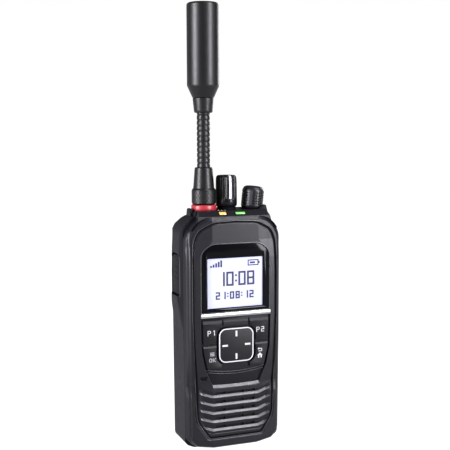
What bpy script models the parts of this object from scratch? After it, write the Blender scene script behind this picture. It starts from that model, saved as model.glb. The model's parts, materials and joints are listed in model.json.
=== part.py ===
"""Hand-held satellite phone, modelled piece by piece as it comes apart on a bench.

The driving dimensions and every outline below are in millimetres, and the meshes are made
in metres. X runs to the right of someone facing the front, Y from the front (-Y) to the back,
and Z up. The origin is the middle of the flat base.
"""
import math

import bmesh
import bpy
from mathutils import Matrix, Vector

MM = 0.001

# Overall size, without the knobs, the antenna and the belt clip
WIDTH = 57.8
DEPTH = 32.8
SHOULDER_Z = 131.2
DECK_Z = 134.2

# How the two halves of the housing and the battery pack share the depth
FRONT = -DEPTH / 2
BACK = DEPTH / 2
GAP = 0.3
WALL = 2.0
SEAM = -10.0
BAY_Y = 3.4
BAY_TOP = 84.0
SIDE = WIDTH / 2

# Front panel
WINDOW_HALF = 20.35
WINDOW_LOW = 78.0
WINDOW_TOP = 116.3
LCD_HALF = 16.65
LCD_LOW = 80.2
LCD_TOP = 108.2
TRIM_HALF = 20.95
TRIM_LOW = 75.2
PAD_TOP = 74.6
PAD_LOW = 44.6
PAD_SPLIT = 59.8
KEY_INNER = 8.0
DPAD_HALF = 10.5
DPAD_LOW = 49.05
DPAD_TOP = 68.7
DPAD_MID = (DPAD_LOW + DPAD_TOP) / 2
KEY_PROUD = 0.35
KEY_BACK = -14.6
GRILLE_ROWS = (32.0, 27.3, 22.4, 17.6, 13.3)
GRILLE_SLOT = 1.8
GRILLE_RIB = 6.2

# Controls on the top deck
ANTENNA_X = -12.9
ROTARY_X = 0.7
ROTARY_R = 6.1
ROTARY_LOW = 136.0
ROTARY_TOP = 153.6
VOLUME_X = 16.3
VOLUME_R = 6.3
VOLUME_LOW = 134.0
VOLUME_LONG = 13.0
VOLUME_LEAN = math.radians(6.0)

# Antenna, by height above the base
RING_LOW = 133.6
RING_R = 7.15
RING_TOP = 137.2
NUT_TOP = 146.0
COLLAR_TOP = 158.2
NECK_R = 3.75
NECK_JOINT_LOW = 166.0
NECK_JOINT_HIGH = 181.0
NECK_TOP = 188.7
CONE_LOW = 196.9
CONE_TOP = 203.0
RADOME_R = 9.0
RADOME_TOP = 249.1

# Push-to-talk key, on the left side
PTT_FLOOR = -28.2
PTT_FACE = -30.1
PTT_BULGE = 2.0
PTT_OUTLINE = ((-7.0, 86.6, 1.5), (7.0, 86.6, 1.5), (7.0, 110.5, 4.0), (-7.0, 110.5, 4.5))

# Jack cover, on the right side
JACK_FLOOR = 28.0
JACK_FACE = 29.9
JACK_LOW = 98.4
JACK_TOP = 119.0
JACK_SCREW_Z = JACK_LOW + 3.0
JACK_WINDOW = (JACK_LOW + 6.0, JACK_TOP - 3.0)
JACK_FRONT = -6.5
JACK_HINGE = (29.5, 8.0)

# Belt clip, on the back
CLIP_HALF = 10.0
CLIP_PIN_Y = 21.4
CLIP_PIN_Z = 117.0
CLIP_LOW = 56.0

SCREW_PLACES = ((-24.0, 14.0), (24.0, 14.0), (-24.0, 72.0), (24.0, 72.0))

for old in list(bpy.data.objects):
    bpy.data.objects.remove(old, do_unlink=True)

PARTS = bpy.data.collections.new("satellite_phone")
CUTTERS = bpy.data.collections.new("satellite_phone_cutters")
for collection in (PARTS, CUTTERS):
    bpy.context.scene.collection.children.link(collection)


# ---------------------------------------------------------------- materials

FINISHES = {
    # name: colour, roughness, metallic
    "charcoal_plastic": ((0.045, 0.045, 0.05), 0.55, 0.0),
    "black_gloss": ((0.008, 0.008, 0.01), 0.12, 0.0),
    "black_rubber": ((0.02, 0.02, 0.022), 0.75, 0.0),
    "satin_silver": ((0.55, 0.56, 0.58), 0.35, 1.0),
    "lcd_grey": ((0.75, 0.76, 0.9), 0.4, 0.0),
    "board_green": ((0.02, 0.12, 0.05), 0.5, 0.0),
    "tinned_steel": ((0.6, 0.6, 0.62), 0.3, 1.0),
    "gilded_brass": ((0.75, 0.55, 0.25), 0.3, 1.0),
    "red_gloss": ((0.5, 0.02, 0.04), 0.2, 0.0),
    "amber_lens": ((0.9, 0.6, 0.2), 0.2, 0.0),
    "green_lens": ((0.25, 0.8, 0.2), 0.2, 0.0),
    "black_steel": ((0.05, 0.05, 0.05), 0.4, 1.0),
}


def finish(piece, name):
    """Gives a piece its own material of a named finish."""
    colour, roughness, metallic = FINISHES[name]
    material = bpy.data.materials.new(piece.name + "_" + name)
    material.use_nodes = True
    shader = material.node_tree.nodes["Principled BSDF"]
    shader.inputs["Base Color"].default_value = (*colour, 1.0)
    shader.inputs["Roughness"].default_value = roughness
    shader.inputs["Metallic"].default_value = metallic
    piece.data.materials.clear()
    piece.data.materials.append(material)
    return piece


# ---------------------------------------------------------------- modelling tools

def add(name, bm):
    """Makes an object of a bmesh whose coordinates are in millimetres."""
    bmesh.ops.scale(bm, vec=(MM, MM, MM), verts=bm.verts)
    bmesh.ops.recalc_face_normals(bm, faces=bm.faces)
    mesh = bpy.data.meshes.new(name)
    bm.to_mesh(mesh)
    bm.free()
    piece = bpy.data.objects.new(name, mesh)
    PARTS.objects.link(piece)
    return piece


def box(name, low, high):
    """A block between two corners."""
    low, high = Vector(low), Vector(high)
    bm = bmesh.new()
    bmesh.ops.create_cube(bm, size=1.0)
    bmesh.ops.scale(bm, vec=high - low, verts=bm.verts)
    bmesh.ops.translate(bm, vec=(low + high) / 2, verts=bm.verts)
    return add(name, bm)


def rod(name, start, end, radius, sides=16, end_radius=None):
    """A cylinder or cone between two points."""
    start, end = Vector(start), Vector(end)
    along = end - start
    bm = bmesh.new()
    bmesh.ops.create_cone(
        bm, cap_ends=True, segments=sides, radius1=radius,
        radius2=radius if end_radius is None else end_radius, depth=along.length,
    )
    aim = along.to_track_quat("Z", "Y").to_matrix().to_4x4()
    bmesh.ops.transform(bm, matrix=Matrix.Translation((start + end) / 2) @ aim, verts=bm.verts)
    return add(name, bm)


def rounded(corners, arc):
    """Points of an outline whose corners (a, b, radius) are rounded by arcs."""
    points = []
    for i, (a, b, radius) in enumerate(corners):
        here = Vector((a, b))
        if not radius:
            points.append(here)
            continue
        back = (Vector(corners[i - 1][:2]) - here).normalized()
        ahead = (Vector(corners[(i + 1) % len(corners)][:2]) - here).normalized()
        half = back.angle(ahead) / 2
        centre = here + (back + ahead).normalized() * radius / math.sin(half)
        first = here + back * radius / math.tan(half) - centre
        last = here + ahead * radius / math.tan(half) - centre
        turn = math.atan2(first.cross(last), first.dot(last))
        for step in range(arc + 1):
            points.append(centre + Matrix.Rotation(turn * step / arc, 2) @ first)
    return points


def pulled_in(corners, inset):
    """The same counter-clockwise outline moved inwards, with its corner radii kept concentric."""
    moved = []
    for i, (a, b, radius) in enumerate(corners):
        here = Vector((a, b))
        before = (here - Vector(corners[i - 1][:2])).normalized()
        after = (Vector(corners[(i + 1) % len(corners)][:2]) - here).normalized()
        mitre = (Vector((-before.y, before.x)) + Vector((-after.y, after.x))).normalized()
        reach = inset / mitre.dot(Vector((-before.y, before.x)))
        moved.append((*(here + mitre * reach), max(radius - inset, 0.0)))
    return moved


# Where an outline's two directions and the prism's length point in space
PRISM_TURNS = {
    "X": Matrix(((0, 0, 1), (1, 0, 0), (0, 1, 0))).to_4x4(),
    "Y": Matrix(((1, 0, 0), (0, 0, 1), (0, 1, 0))).to_4x4(),
    "Z": Matrix.Identity(4),
}


def prism(name, corners, low, high, axis="Y", arc=4):
    """A flat outline given thickness from low to high along an axis.

    Outlines are (x, z) along Y, (y, z) along X and (x, y) along Z.
    """
    points = rounded(corners, arc)
    curve = bpy.data.curves.new(name, "CURVE")
    curve.dimensions = "2D"
    curve.fill_mode = "BOTH"
    curve.extrude = (high - low) / 2
    curve.render_resolution_u = 0
    spline = curve.splines.new("POLY")
    spline.points.add(len(points) - 1)
    for place, point in zip(spline.points, points):
        place.co = (point.x, point.y, 0.0, 1.0)
    spline.use_cyclic_u = True
    guide = bpy.data.objects.new(name + "_outline", curve)
    CUTTERS.objects.link(guide)
    seen = guide.evaluated_get(bpy.context.evaluated_depsgraph_get())
    mesh = bpy.data.meshes.new_from_object(seen)
    bpy.data.objects.remove(guide, do_unlink=True)
    bm = bmesh.new()
    bm.from_mesh(mesh)
    bpy.data.meshes.remove(mesh)
    bmesh.ops.remove_doubles(bm, verts=bm.verts, dist=0.001)
    bmesh.ops.dissolve_limit(bm, angle_limit=0.001, verts=bm.verts, edges=bm.edges)
    bmesh.ops.translate(bm, vec=(0, 0, (low + high) / 2), verts=bm.verts)
    bmesh.ops.transform(bm, matrix=PRISM_TURNS[axis], verts=bm.verts)
    return add(name, bm)


def turned(name, profile, at, steps=32, lean=0.0, closed=False):
    """A profile of (radius, height) turned about a vertical or leaning axis.

    The profile runs down the outer side. A closed one returns up its bore.
    """
    count = len(profile)
    edges = [(i, i + 1) for i in range(count - 1)] + ([(count - 1, 0)] if closed else [])
    mesh = bpy.data.meshes.new(name)
    mesh.from_pydata([(r * MM, 0.0, z * MM) for r, z in profile], edges, [])
    piece = bpy.data.objects.new(name, mesh)
    piece.location = Vector(at) * MM
    piece.rotation_euler = (0.0, lean, 0.0)
    PARTS.objects.link(piece)
    screw = piece.modifiers.new("turn", "SCREW")
    screw.steps = screw.render_steps = steps
    screw.use_merge_vertices = True
    screw.merge_threshold = 0.00001
    screw.use_smooth_shade = True
    return piece


def shape_with(piece, other, operation):
    """Cuts, joins or limits a piece by another, which becomes a guide."""
    for owner in list(other.users_collection):
        owner.objects.unlink(other)
    CUTTERS.objects.link(other)
    other.hide_render = True
    other.display_type = "WIRE"
    change = piece.modifiers.new(other.name, "BOOLEAN")
    change.operation = operation
    change.solver = "EXACT"
    change.object = other
    return piece


def cut(piece, *others):
    for other in others:
        shape_with(piece, other, "DIFFERENCE")
    return piece


def join(piece, *others):
    for other in others:
        shape_with(piece, other, "UNION")
    return piece


def limit(piece, other):
    return shape_with(piece, other, "INTERSECT")


def bevel_where(piece, width, segments, chosen):
    """Rounds the edges whose two ends both pass a test on millimetre coordinates."""
    bm = bmesh.new()
    bm.from_mesh(piece.data)
    edges = [e for e in bm.edges if all(chosen(v.co / MM) for v in e.verts)]
    bmesh.ops.bevel(
        bm, geom=edges, offset=width * MM, segments=segments, affect="EDGES",
        profile=0.5, clamp_overlap=True,
    )
    bm.to_mesh(piece.data)
    bm.free()
    return piece


def at_y(y):
    return lambda place: abs(place.y - y) < 0.01


def at_x(x):
    return lambda place: abs(place.x - x) < 0.01


def mirrored(half):
    """A counter-clockwise outline from its right half, listed bottom to top."""
    return list(half) + [(-a, b, radius) for a, b, radius in reversed(half)]


# ---------------------------------------------------------------- outlines

BODY = mirrored([
    (13.5, 0.0, 5.0), (24.6, 1.7, 2.5), (28.4, 5.6, 4.0), (SIDE, 40.0, 60.0),
    (SIDE, SHOULDER_Z, 14.0),
])
REAR_BODY = BODY[:5] + [
    (-SIDE - 1.5, SHOULDER_Z + 0.8, 9.5), (-SIDE - PTT_BULGE, 114.0, 3.0),
    (-SIDE - PTT_BULGE, 84.0, 3.0), (-SIDE, 68.0, 12.0),
] + BODY[6:]
PLAN_BACK = [
    (-23.3, BACK, 2.5), (-SIDE, 8.5, 4.0), (-SIDE - PTT_BULGE, 5.5, 2.0),
    (-SIDE - PTT_BULGE, -5.0, 3.0), (-SIDE, SEAM + GAP, 0.0), (-SIDE, FRONT, 0.0),
    (SIDE, FRONT, 0.0), (SIDE, 8.5, 4.0), (23.3, BACK, 2.5),
]
SHIELD = mirrored([
    (15.6, 38.2, 2.0), (18.6, 47.0, 8.0), (20.6, 56.0, 10.0), (21.0, PAD_TOP, 1.0),
])
DPAD = [
    (-DPAD_HALF, DPAD_LOW, 4.2), (DPAD_HALF, DPAD_LOW, 4.2),
    (DPAD_HALF, DPAD_TOP, 4.2), (-DPAD_HALF, DPAD_TOP, 4.2),
]


# ---------------------------------------------------------------- housing

def deck(name, y_low, y_high):
    """The raised deck that carries the knobs, with its sloping front."""
    slope = [(-15.2, 129.0, 0), (-15.2, 131.0, 0), (-11.6, DECK_Z, 1.5), (12.5, DECK_Z, 3.0),
             (15.0, 129.0, 0)]
    whole = prism(name, list(reversed(slope)), -22.8, 24.0, axis="X", arc=3)
    return limit(whole, box(name + "_span", (-40, y_low, 120), (40, y_high, 140)))


def antenna_well():
    """Clearance for the antenna's ring."""
    return rod("antenna_well", (ANTENNA_X, 0, 133.0), (ANTENNA_X, 0, 140), 8.4, sides=24)


def front_case():
    case = prism("front_case", BODY, FRONT, SEAM, arc=5)
    bevel_where(case, 1.1, 2, at_y(FRONT))
    join(case, deck("front_deck", FRONT, SEAM))
    hollow = pulled_in(BODY, WALL)
    cut(case, prism("front_hollow", hollow, FRONT + WALL, 0, arc=3))
    cut(case, prism("gasket_seat", pulled_in(BODY, 1.1), SEAM - 1.2, 0, arc=3))
    window = window_outline(GAP)
    cut(case, prism("window_seat", window, FRONT - 1, FRONT + 1.5, arc=3))
    cut(case, box("lcd_opening", (-LCD_HALF - 1, -17, LCD_LOW - 1),
                  (LCD_HALF + 1, SEAM, LCD_TOP + 1)))
    cut(case, box("trim_seat", (-TRIM_HALF - GAP, -18, TRIM_LOW - GAP),
                  (TRIM_HALF + GAP, -15.4, 78.0)))
    pad = limit(prism("pad_opening", pulled_in(SHIELD, -GAP), -18, -14, arc=3),
                box("pad_span", (-30, -20, PAD_LOW - 0.5), (30, 0, PAD_TOP + 1)))
    cut(case, pad)
    badge = limit(prism("badge_seat", pulled_in(SHIELD, -GAP), -18, FRONT + 1.3, arc=3),
                  box("badge_span", (-30, -20, 30), (30, 0, PAD_LOW)))
    cut(case, badge)
    for row, z in enumerate(GRILLE_ROWS):
        for column in (-1, 0, 1):
            middle = column * (GRILLE_RIB + 3.6)
            half = GRILLE_RIB - 0.6 if column == 0 else 3.0
            cut(case, box(f"grille_{row}_{column}", (middle - half, -18, z - GRILLE_SLOT / 2),
                          (middle + half, -14, z + GRILLE_SLOT / 2)))
    cut(case, box("mic_slit", (-20.6, -18, 40.0), (-17.4, -14, 41.2)))
    cut(case, lens_block("amber_seat", *AMBER_SPAN, GAP), lens_block("green_seat", *GREEN_SPAN, GAP))
    for number, (x, z) in enumerate(SCREW_PLACES):
        join(case, rod(f"front_post_{number}", (x, -15, z), (x, SEAM, z), 2.4))
        cut(case, rod(f"front_post_bore_{number}", (x, -13.4, z), (x, 0, z), 1.3, sides=12))
    return finish(case, "charcoal_plastic")


def window_outline(grow=0.0):
    corners = [
        (-WINDOW_HALF, WINDOW_LOW, 0.5), (WINDOW_HALF, WINDOW_LOW, 0.5),
        (WINDOW_HALF, 112.5, 2.0), (15.2, WINDOW_TOP, 3.0), (-15.2, WINDOW_TOP, 3.0),
        (-WINDOW_HALF, 112.5, 2.0),
    ]
    return pulled_in(corners, -grow)


def rear_case():
    case = prism("rear_case", REAR_BODY, SEAM + GAP, BACK, arc=5)
    limit(case, prism("rear_plan", list(reversed(PLAN_BACK)), -5, 140, axis="Z", arc=3))
    join(case, deck("rear_deck", SEAM + GAP, 14.0))
    join(case, deck_rim(), deck_ear())
    cut(case, antenna_well())
    cut(case, leaning_rod("volume_well", VOLUME_R + 0.8, -1.2, 20.0))
    cut(case, box("battery_bay", (-40, BAY_Y, -5), (40, 30, BAY_TOP)))
    inner = pulled_in(BODY, WALL)
    cut(case, prism("rear_hollow", inner, -20, BAY_Y - WALL, arc=3))
    upper = [(-25.5, BAY_TOP + WALL, 1), (25.5, BAY_TOP + WALL, 1), (25.5, 128.8, 11),
             (-25.5, 128.8, 11)]
    cut(case, limit(prism("upper_hollow", upper, 0, 13.4, arc=3),
                    prism("upper_plan", list(reversed([
                        (-20.5, 13.4, 1), (-25.5, 6.5, 1), (-25.5, -2, 0), (25.5, -2, 0),
                        (25.5, 6.5, 1), (20.5, 13.4, 1)])), 90, 135, axis="Z", arc=2)))
    cut(case, rod("bushing_hole", (ANTENNA_X, 0, 120), (ANTENNA_X, 0, 140), 4.8, sides=20))
    cut(case, rod("rotary_hole", (ROTARY_X, 0, 120), (ROTARY_X, 0, 140), 4.3, sides=20))
    cut(case, leaning_rod("volume_hole", 4.3, -14.0, 5.0, sides=20))
    cut(case, prism("ptt_pocket", PTT_OUTLINE, -40, PTT_FLOOR, axis="X"))
    cut(case, box("ptt_stem_hole", (-30, -2.6, 99.4), (-20, 2.6, 104.6)))
    recess = [(JACK_FRONT - GAP, JACK_LOW - GAP, 1.5), (JACK_HINGE[1] + 1.5, JACK_LOW - GAP, 0.5),
              (JACK_HINGE[1] + 1.5, JACK_TOP + GAP, 0.5), (JACK_FRONT - GAP, JACK_TOP + GAP, 1.5)]
    cut(case, prism("jack_recess", recess, JACK_FLOOR, 40, axis="X"))
    cut(case, box("jack_window", (20, -4.2, JACK_WINDOW[0]), (30, 4.2, JACK_WINDOW[1])))
    cut(case, rod("jack_pin_hole", (*JACK_HINGE, JACK_LOW - 2), (*JACK_HINGE, JACK_TOP + 2), 0.8,
                  sides=12))
    cut(case, box("terminal_window", (-6.3, -5, 22.7), (6.3, 10, 28.3)))
    for number, (x, z) in enumerate(SCREW_PLACES):
        join(case, rod(f"rear_post_{number}", (x, SEAM + GAP, z), (x, BAY_Y - 1, z), 2.4))
        cut(case, rod(f"rear_post_bore_{number}", (x, -20, z), (x, 10, z), 1.3, sides=12))
        cut(case, rod(f"screw_seat_{number}", (x, 1.2, z), (x, 10, z), 2.2))
    cut(case, rod("clip_screw_hole", (0, 8, 106.0), (0, 20, 106.0), 1.3, sides=12))
    return finish(case, "charcoal_plastic")


def deck_rim():
    """The low wall left of the antenna."""
    rim = [(-24.6, 129.0, 0), (-21.0, 129.0, 0), (-21.0, 135.3, 0.5), (-22.8, 135.3, 0.5)]
    return prism("deck_rim", rim, SEAM + GAP, 9.0, arc=2)


def deck_ear():
    """The guard right of the volume knob."""
    ear = [(18.0, 129.0, 0), (26.3, 129.0, 0), (24.4, 137.0, 0.6), (23.0, 137.2, 0.6),
           (18.0, 133.5, 0)]
    return prism("deck_ear", ear, -7.0, 7.5, arc=2)


def leaning_rod(name, radius, low, high, sides=24):
    """A cylinder on the volume knob's axis; low and high count from the knob's underside."""
    lean = Vector((math.sin(VOLUME_LEAN), 0.0, math.cos(VOLUME_LEAN)))
    foot = Vector((VOLUME_X, 0.0, VOLUME_LOW))
    return rod(name, foot + lean * low, foot + lean * high, radius, sides=sides)


def case_gasket():
    seal = prism("case_gasket", pulled_in(BODY, 1.4), SEAM - 0.9, SEAM, arc=3)
    cut(seal, prism("gasket_inside", pulled_in(BODY, 1.9), -20, 0, arc=3))
    return finish(seal, "black_rubber")


# ---------------------------------------------------------------- front panel

AMBER_SPAN = (-9.4, -3.8)
GREEN_SPAN = (0.8, 7.0)


def lens_block(name, left, right, grow=0.0):
    """A light guide set into the sloping front of the deck."""
    outline = [(-14.4 - grow, 130.2 - grow, 0), (-10.9 + grow, 130.2 - grow, 0),
               (-10.9 + grow, 134.3, 0), (-12.5, 134.3, 0), (-14.4 - grow, 132.4, 0)]
    return prism(name, outline, left - grow, right + grow, axis="X")


def indicator_lenses():
    for name, span, colour in (("led_lens_amber", AMBER_SPAN, "amber_lens"),
                               ("led_lens_green", GREEN_SPAN, "green_lens")):
        finish(lens_block(name, *span), colour)


def display():
    window = prism("display_window", window_outline(), FRONT, FRONT + 1.2, arc=3)
    bevel_where(window, 0.3, 1, at_y(FRONT))
    finish(window, "black_gloss")
    finish(box("lcd_module", (-LCD_HALF - 0.7, -14.9, LCD_LOW - 0.7),
               (LCD_HALF + 0.7, -12.6, LCD_TOP + 0.7)), "lcd_grey")
    bar = box("trim_bar", (-TRIM_HALF, FRONT - 0.7, TRIM_LOW), (TRIM_HALF, -15.7, 77.7))
    bevel_where(bar, 0.6, 2, at_y(FRONT - 0.7))
    finish(bar, "satin_silver")
    badge = limit(prism("badge_plate", SHIELD, FRONT, FRONT + 1.0, arc=3),
                  box("badge_plate_span", (-30, -20, 30), (30, 0, PAD_LOW - GAP)))
    finish(badge, "black_gloss")


KEYS = {
    # name: side, lowest and highest point of the cell it fills
    "key_p1": (-1, PAD_SPLIT + 0.25, PAD_TOP),
    "key_p2": (1, PAD_SPLIT + 0.25, PAD_TOP),
    "key_menu": (-1, PAD_LOW, PAD_SPLIT - 0.25),
    "key_back": (1, PAD_LOW, PAD_SPLIT - 0.25),
}


def key_cell(name, side, low, high, shrink, y_low, y_high):
    """One quarter of the keypad: the shield outline, less the direction pad."""
    cell = prism(name, pulled_in(SHIELD, 0.9 + shrink), y_low, y_high, arc=3)
    span = sorted((side * (KEY_INNER + shrink), side * 30.0))
    edge = 0.8 + shrink
    limit(cell, box(name + "_span", (span[0], -25, low + (edge if low == PAD_LOW else shrink)),
                    (span[1], 0, high - (edge if high == PAD_TOP else shrink))))
    return cut(cell, prism(name + "_pad", pulled_in(DPAD, -0.9 - shrink), -25, 0, arc=3))


def keypad():
    frame = limit(prism("keypad_frame", SHIELD, FRONT + 0.2, FRONT + WALL, arc=3),
                  box("keypad_frame_span", (-30, -20, PAD_LOW - 0.2), (30, 0, PAD_TOP)))
    cut(frame, prism("dpad_opening", pulled_in(DPAD, -0.5), -20, 0, arc=3))
    for name, (side, low, high) in KEYS.items():
        cut(frame, key_cell(name + "_opening", side, low, high, 0.0, -20, 0))
        key = key_cell(name, side, low, high, 0.35, FRONT - KEY_PROUD, KEY_BACK)
        finish(key, "charcoal_plastic")
    finish(frame, "charcoal_plastic")
    cap = prism("dpad_cap", DPAD, FRONT - 0.9, KEY_BACK - 0.3, arc=4)
    bevel_where(cap, 0.6, 2, at_y(FRONT - 0.9))
    finish(cap, "charcoal_plastic")
    finish(box("dpad_rocker", (-4, KEY_BACK, DPAD_MID - 4), (4, KEY_BACK + 0.6, DPAD_MID + 4)),
           "black_rubber")
    finish(box("key_mat", (-19.5, -13.6, 42), (19.5, -12.8, 74.0)), "black_rubber")
    finish(box("key_board", (-19.5, -12.4, 40), (19.5, -11.4, 76.5)), "board_green")


def sound_parts():
    finish(box("speaker_cloth", (-14, -14.1, 10.0), (14, -13.7, 34.5)), "black_rubber")
    driver = rod("speaker", (0, -13.3, 22.2), (0, -11.2, 22.2), 13.0, sides=32)
    join(driver, rod("speaker_basket", (0, -11.6, 22.2), (0, -9.2, 22.2), 11.5, 32, 7.5))
    join(driver, rod("speaker_magnet", (0, -10.0, 22.2), (0, -7.9, 22.2), 7.0, sides=24))
    finish(driver, "tinned_steel")
    finish(rod("microphone", (-18.0, -14.1, 40.2), (-18.0, -12.9, 40.2), 1.6), "tinned_steel")


# ---------------------------------------------------------------- boards

def boards():
    board = box("main_board", (-20, -7.3, 8), (20, -6.3, 116))
    finish(board, "board_green")
    finish(box("satellite_module", (-16, -6.0, 32), (16, -1.8, 64)), "tinned_steel")
    can = box("rf_shield", (-17, -6.0, 68), (17, -2.0, 90))
    cut(can, box("rf_shield_inside", (-16.4, -7, 68.6), (16.4, -2.6, 89.4)))
    finish(can, "tinned_steel")
    finish(box("battery_terminals", (-6, -6.0, 23.0), (6, BAY_Y - 0.2, 28.0)), "gilded_brass")
    finish(box("ptt_switch", (-24.6, -2.5, 99.2), (-21, 2.5, 104.8)), "black_gloss")
    low, high = JACK_WINDOW
    socket = box("accessory_connector", (21.5, -4.0, low + GAP), (26.2, 4.0, high - GAP))
    cut(socket, box("accessory_mouth", (24.2, -1.6, low + 2.0), (30, 1.6, high - 2.0)))
    finish(socket, "gilded_brass")


def case_screws():
    for number, (x, z) in enumerate(SCREW_PLACES):
        screw = rod(f"case_screw_{number + 1}", (x, -12.6, z), (x, 1.9, z), 1.0, sides=12)
        join(screw, rod(f"screw_head_{number}", (x, 1.5, z), (x, 3.1, z), 1.9))
        finish(screw, "black_steel")


# ---------------------------------------------------------------- push-to-talk key

def ptt_key():
    key = prism("ptt_key", pulled_in(PTT_OUTLINE, 0.5), PTT_FACE, PTT_FACE + 1.0, axis="X")
    bevel_where(key, 0.4, 2, at_x(PTT_FACE))
    join(key, box("ptt_stem", (PTT_FACE + 0.5, -2.2, 99.8), (-25.8, 2.2, 104.2)))
    finish(key, "black_rubber")


# ---------------------------------------------------------------- knobs

def rotary_selector():
    profile = [(0, ROTARY_TOP - 0.2), (4.6, ROTARY_TOP), (5.7, ROTARY_TOP - 1.0),
               (ROTARY_R - 0.2, ROTARY_TOP - 3), (ROTARY_R, ROTARY_LOW + 2.5),
               (ROTARY_R - 0.5, ROTARY_LOW), (0, ROTARY_LOW)]
    knob = turned("rotary_knob", profile, (ROTARY_X, 0, 0))
    cut(knob, rod("rotary_bore", (ROTARY_X, 0, 130), (ROTARY_X, 0, 147.0), 3.3, sides=20))
    finish(knob, "black_rubber")
    shaft = rod("rotary_shaft", (ROTARY_X, 0, 124.5), (ROTARY_X, 0, 146.6), 3.0, sides=20)
    finish(shaft, "tinned_steel")
    body = rod("rotary_switch", (ROTARY_X, 0, 117.5), (ROTARY_X, 0, 127.5), 5.4, sides=24)
    join(body, rod("rotary_bushing", (ROTARY_X, 0, 126), (ROTARY_X, 0, 135.2), 4.0, sides=20))
    cut(body, rod("rotary_way", (ROTARY_X, 0, 124.0), (ROTARY_X, 0, 140), 3.3, sides=20))
    finish(body, "tinned_steel")


def volume_control():
    profile = [(0, VOLUME_LONG + 0.4), (4.4, VOLUME_LONG), (VOLUME_R - 0.5, VOLUME_LONG - 1.2),
               (VOLUME_R, VOLUME_LONG - 3), (VOLUME_R, 1.6), (VOLUME_R - 0.9, 0), (0, 0)]
    knob = turned("volume_knob", profile, (VOLUME_X, 0, VOLUME_LOW), lean=VOLUME_LEAN)
    cut(knob, leaning_rod("volume_bore", 3.3, -1.0, 9.0, sides=20))
    finish(knob, "black_rubber")
    finish(leaning_rod("volume_shaft", 3.0, -11.0, 8.6, sides=20), "tinned_steel")
    body = leaning_rod("volume_pot", 5.6, -17.5, -7.5)
    join(body, leaning_rod("volume_bushing", 4.0, -9.0, -0.6, sides=20))
    cut(body, leaning_rod("volume_way", 3.3, -11.4, 3.0, sides=20))
    finish(body, "tinned_steel")


# ---------------------------------------------------------------- antenna

def antenna():
    foot = (ANTENNA_X, 0, 0)
    bushing = [(4.5, 132.8), (4.5, 127.0), (6.4, 127.0), (6.4, 124.6), (3.0, 124.6), (3.0, 132.8)]
    finish(turned("antenna_bushing", bushing, foot, 24, closed=True), "gilded_brass")
    insert = [(0, 141.6), (2.6, 141.6), (2.6, 126.4), (1.8, 125.6), (0, 125.6)]
    finish(turned("antenna_insert", insert, foot, 16), "gilded_brass")
    ring = [(6.7, RING_TOP), (RING_R, RING_TOP - 0.5), (RING_R, RING_LOW + 0.6), (6.7, RING_LOW),
            (3.4, RING_LOW), (3.4, RING_TOP)]
    finish(turned("antenna_ring", ring, foot, closed=True), "red_gloss")
    base = [(4.0, COLLAR_TOP), (5.05, COLLAR_TOP - 0.6), (5.9, NUT_TOP + 0.8),
            (6.85, NUT_TOP - 0.5), (6.85, RING_TOP + GAP), (2.9, RING_TOP + GAP), (2.9, 142.0),
            (2.2, 142.0), (2.2, COLLAR_TOP)]
    finish(turned("antenna_base", base, foot, closed=True), "black_rubber")
    taper = 1.9
    neck_low = [(0, NECK_JOINT_LOW - 0.15), (NECK_R, NECK_JOINT_LOW - taper),
                (NECK_R, COLLAR_TOP + GAP), (0, COLLAR_TOP + GAP)]
    neck_mid = [(0, NECK_JOINT_HIGH - 0.15), (NECK_R, NECK_JOINT_HIGH - taper),
                (NECK_R, NECK_JOINT_LOW + taper), (0, NECK_JOINT_LOW + 0.15)]
    neck_high = [(0, NECK_TOP - GAP), (NECK_R, NECK_TOP - GAP),
                 (NECK_R, NECK_JOINT_HIGH + taper), (0, NECK_JOINT_HIGH + 0.15)]
    for name, profile in (("antenna_neck_lower", neck_low), ("antenna_neck_middle", neck_mid),
                          ("antenna_neck_upper", neck_high)):
        finish(turned(name, profile, foot, 20), "black_rubber")
    collar = [(2.2, CONE_LOW - GAP), (5.9, CONE_LOW - GAP), (5.1, NECK_TOP), (2.2, NECK_TOP)]
    finish(turned("antenna_collar", collar, foot, closed=True), "black_rubber")
    radome = [(0, RADOME_TOP), (RADOME_R - 0.8, RADOME_TOP), (RADOME_R, RADOME_TOP - 0.9),
              (RADOME_R, CONE_TOP), (5.9, CONE_LOW), (2.4, CONE_LOW), (2.4, CONE_TOP),
              (RADOME_R - 1.4, CONE_TOP + 1.4), (RADOME_R - 1.4, RADOME_TOP - 1.6),
              (0, RADOME_TOP - 1.6)]
    finish(turned("antenna_radome", radome, foot), "black_rubber")
    core = [(0, RADOME_TOP - 4), (6.5, RADOME_TOP - 4), (6.5, CONE_TOP + 3), (1.9, CONE_TOP + 2),
            (1.9, NECK_TOP + GAP), (0, NECK_TOP + GAP)]
    finish(turned("antenna_element", core, foot, 24), "gilded_brass")


# ---------------------------------------------------------------- battery pack

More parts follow.
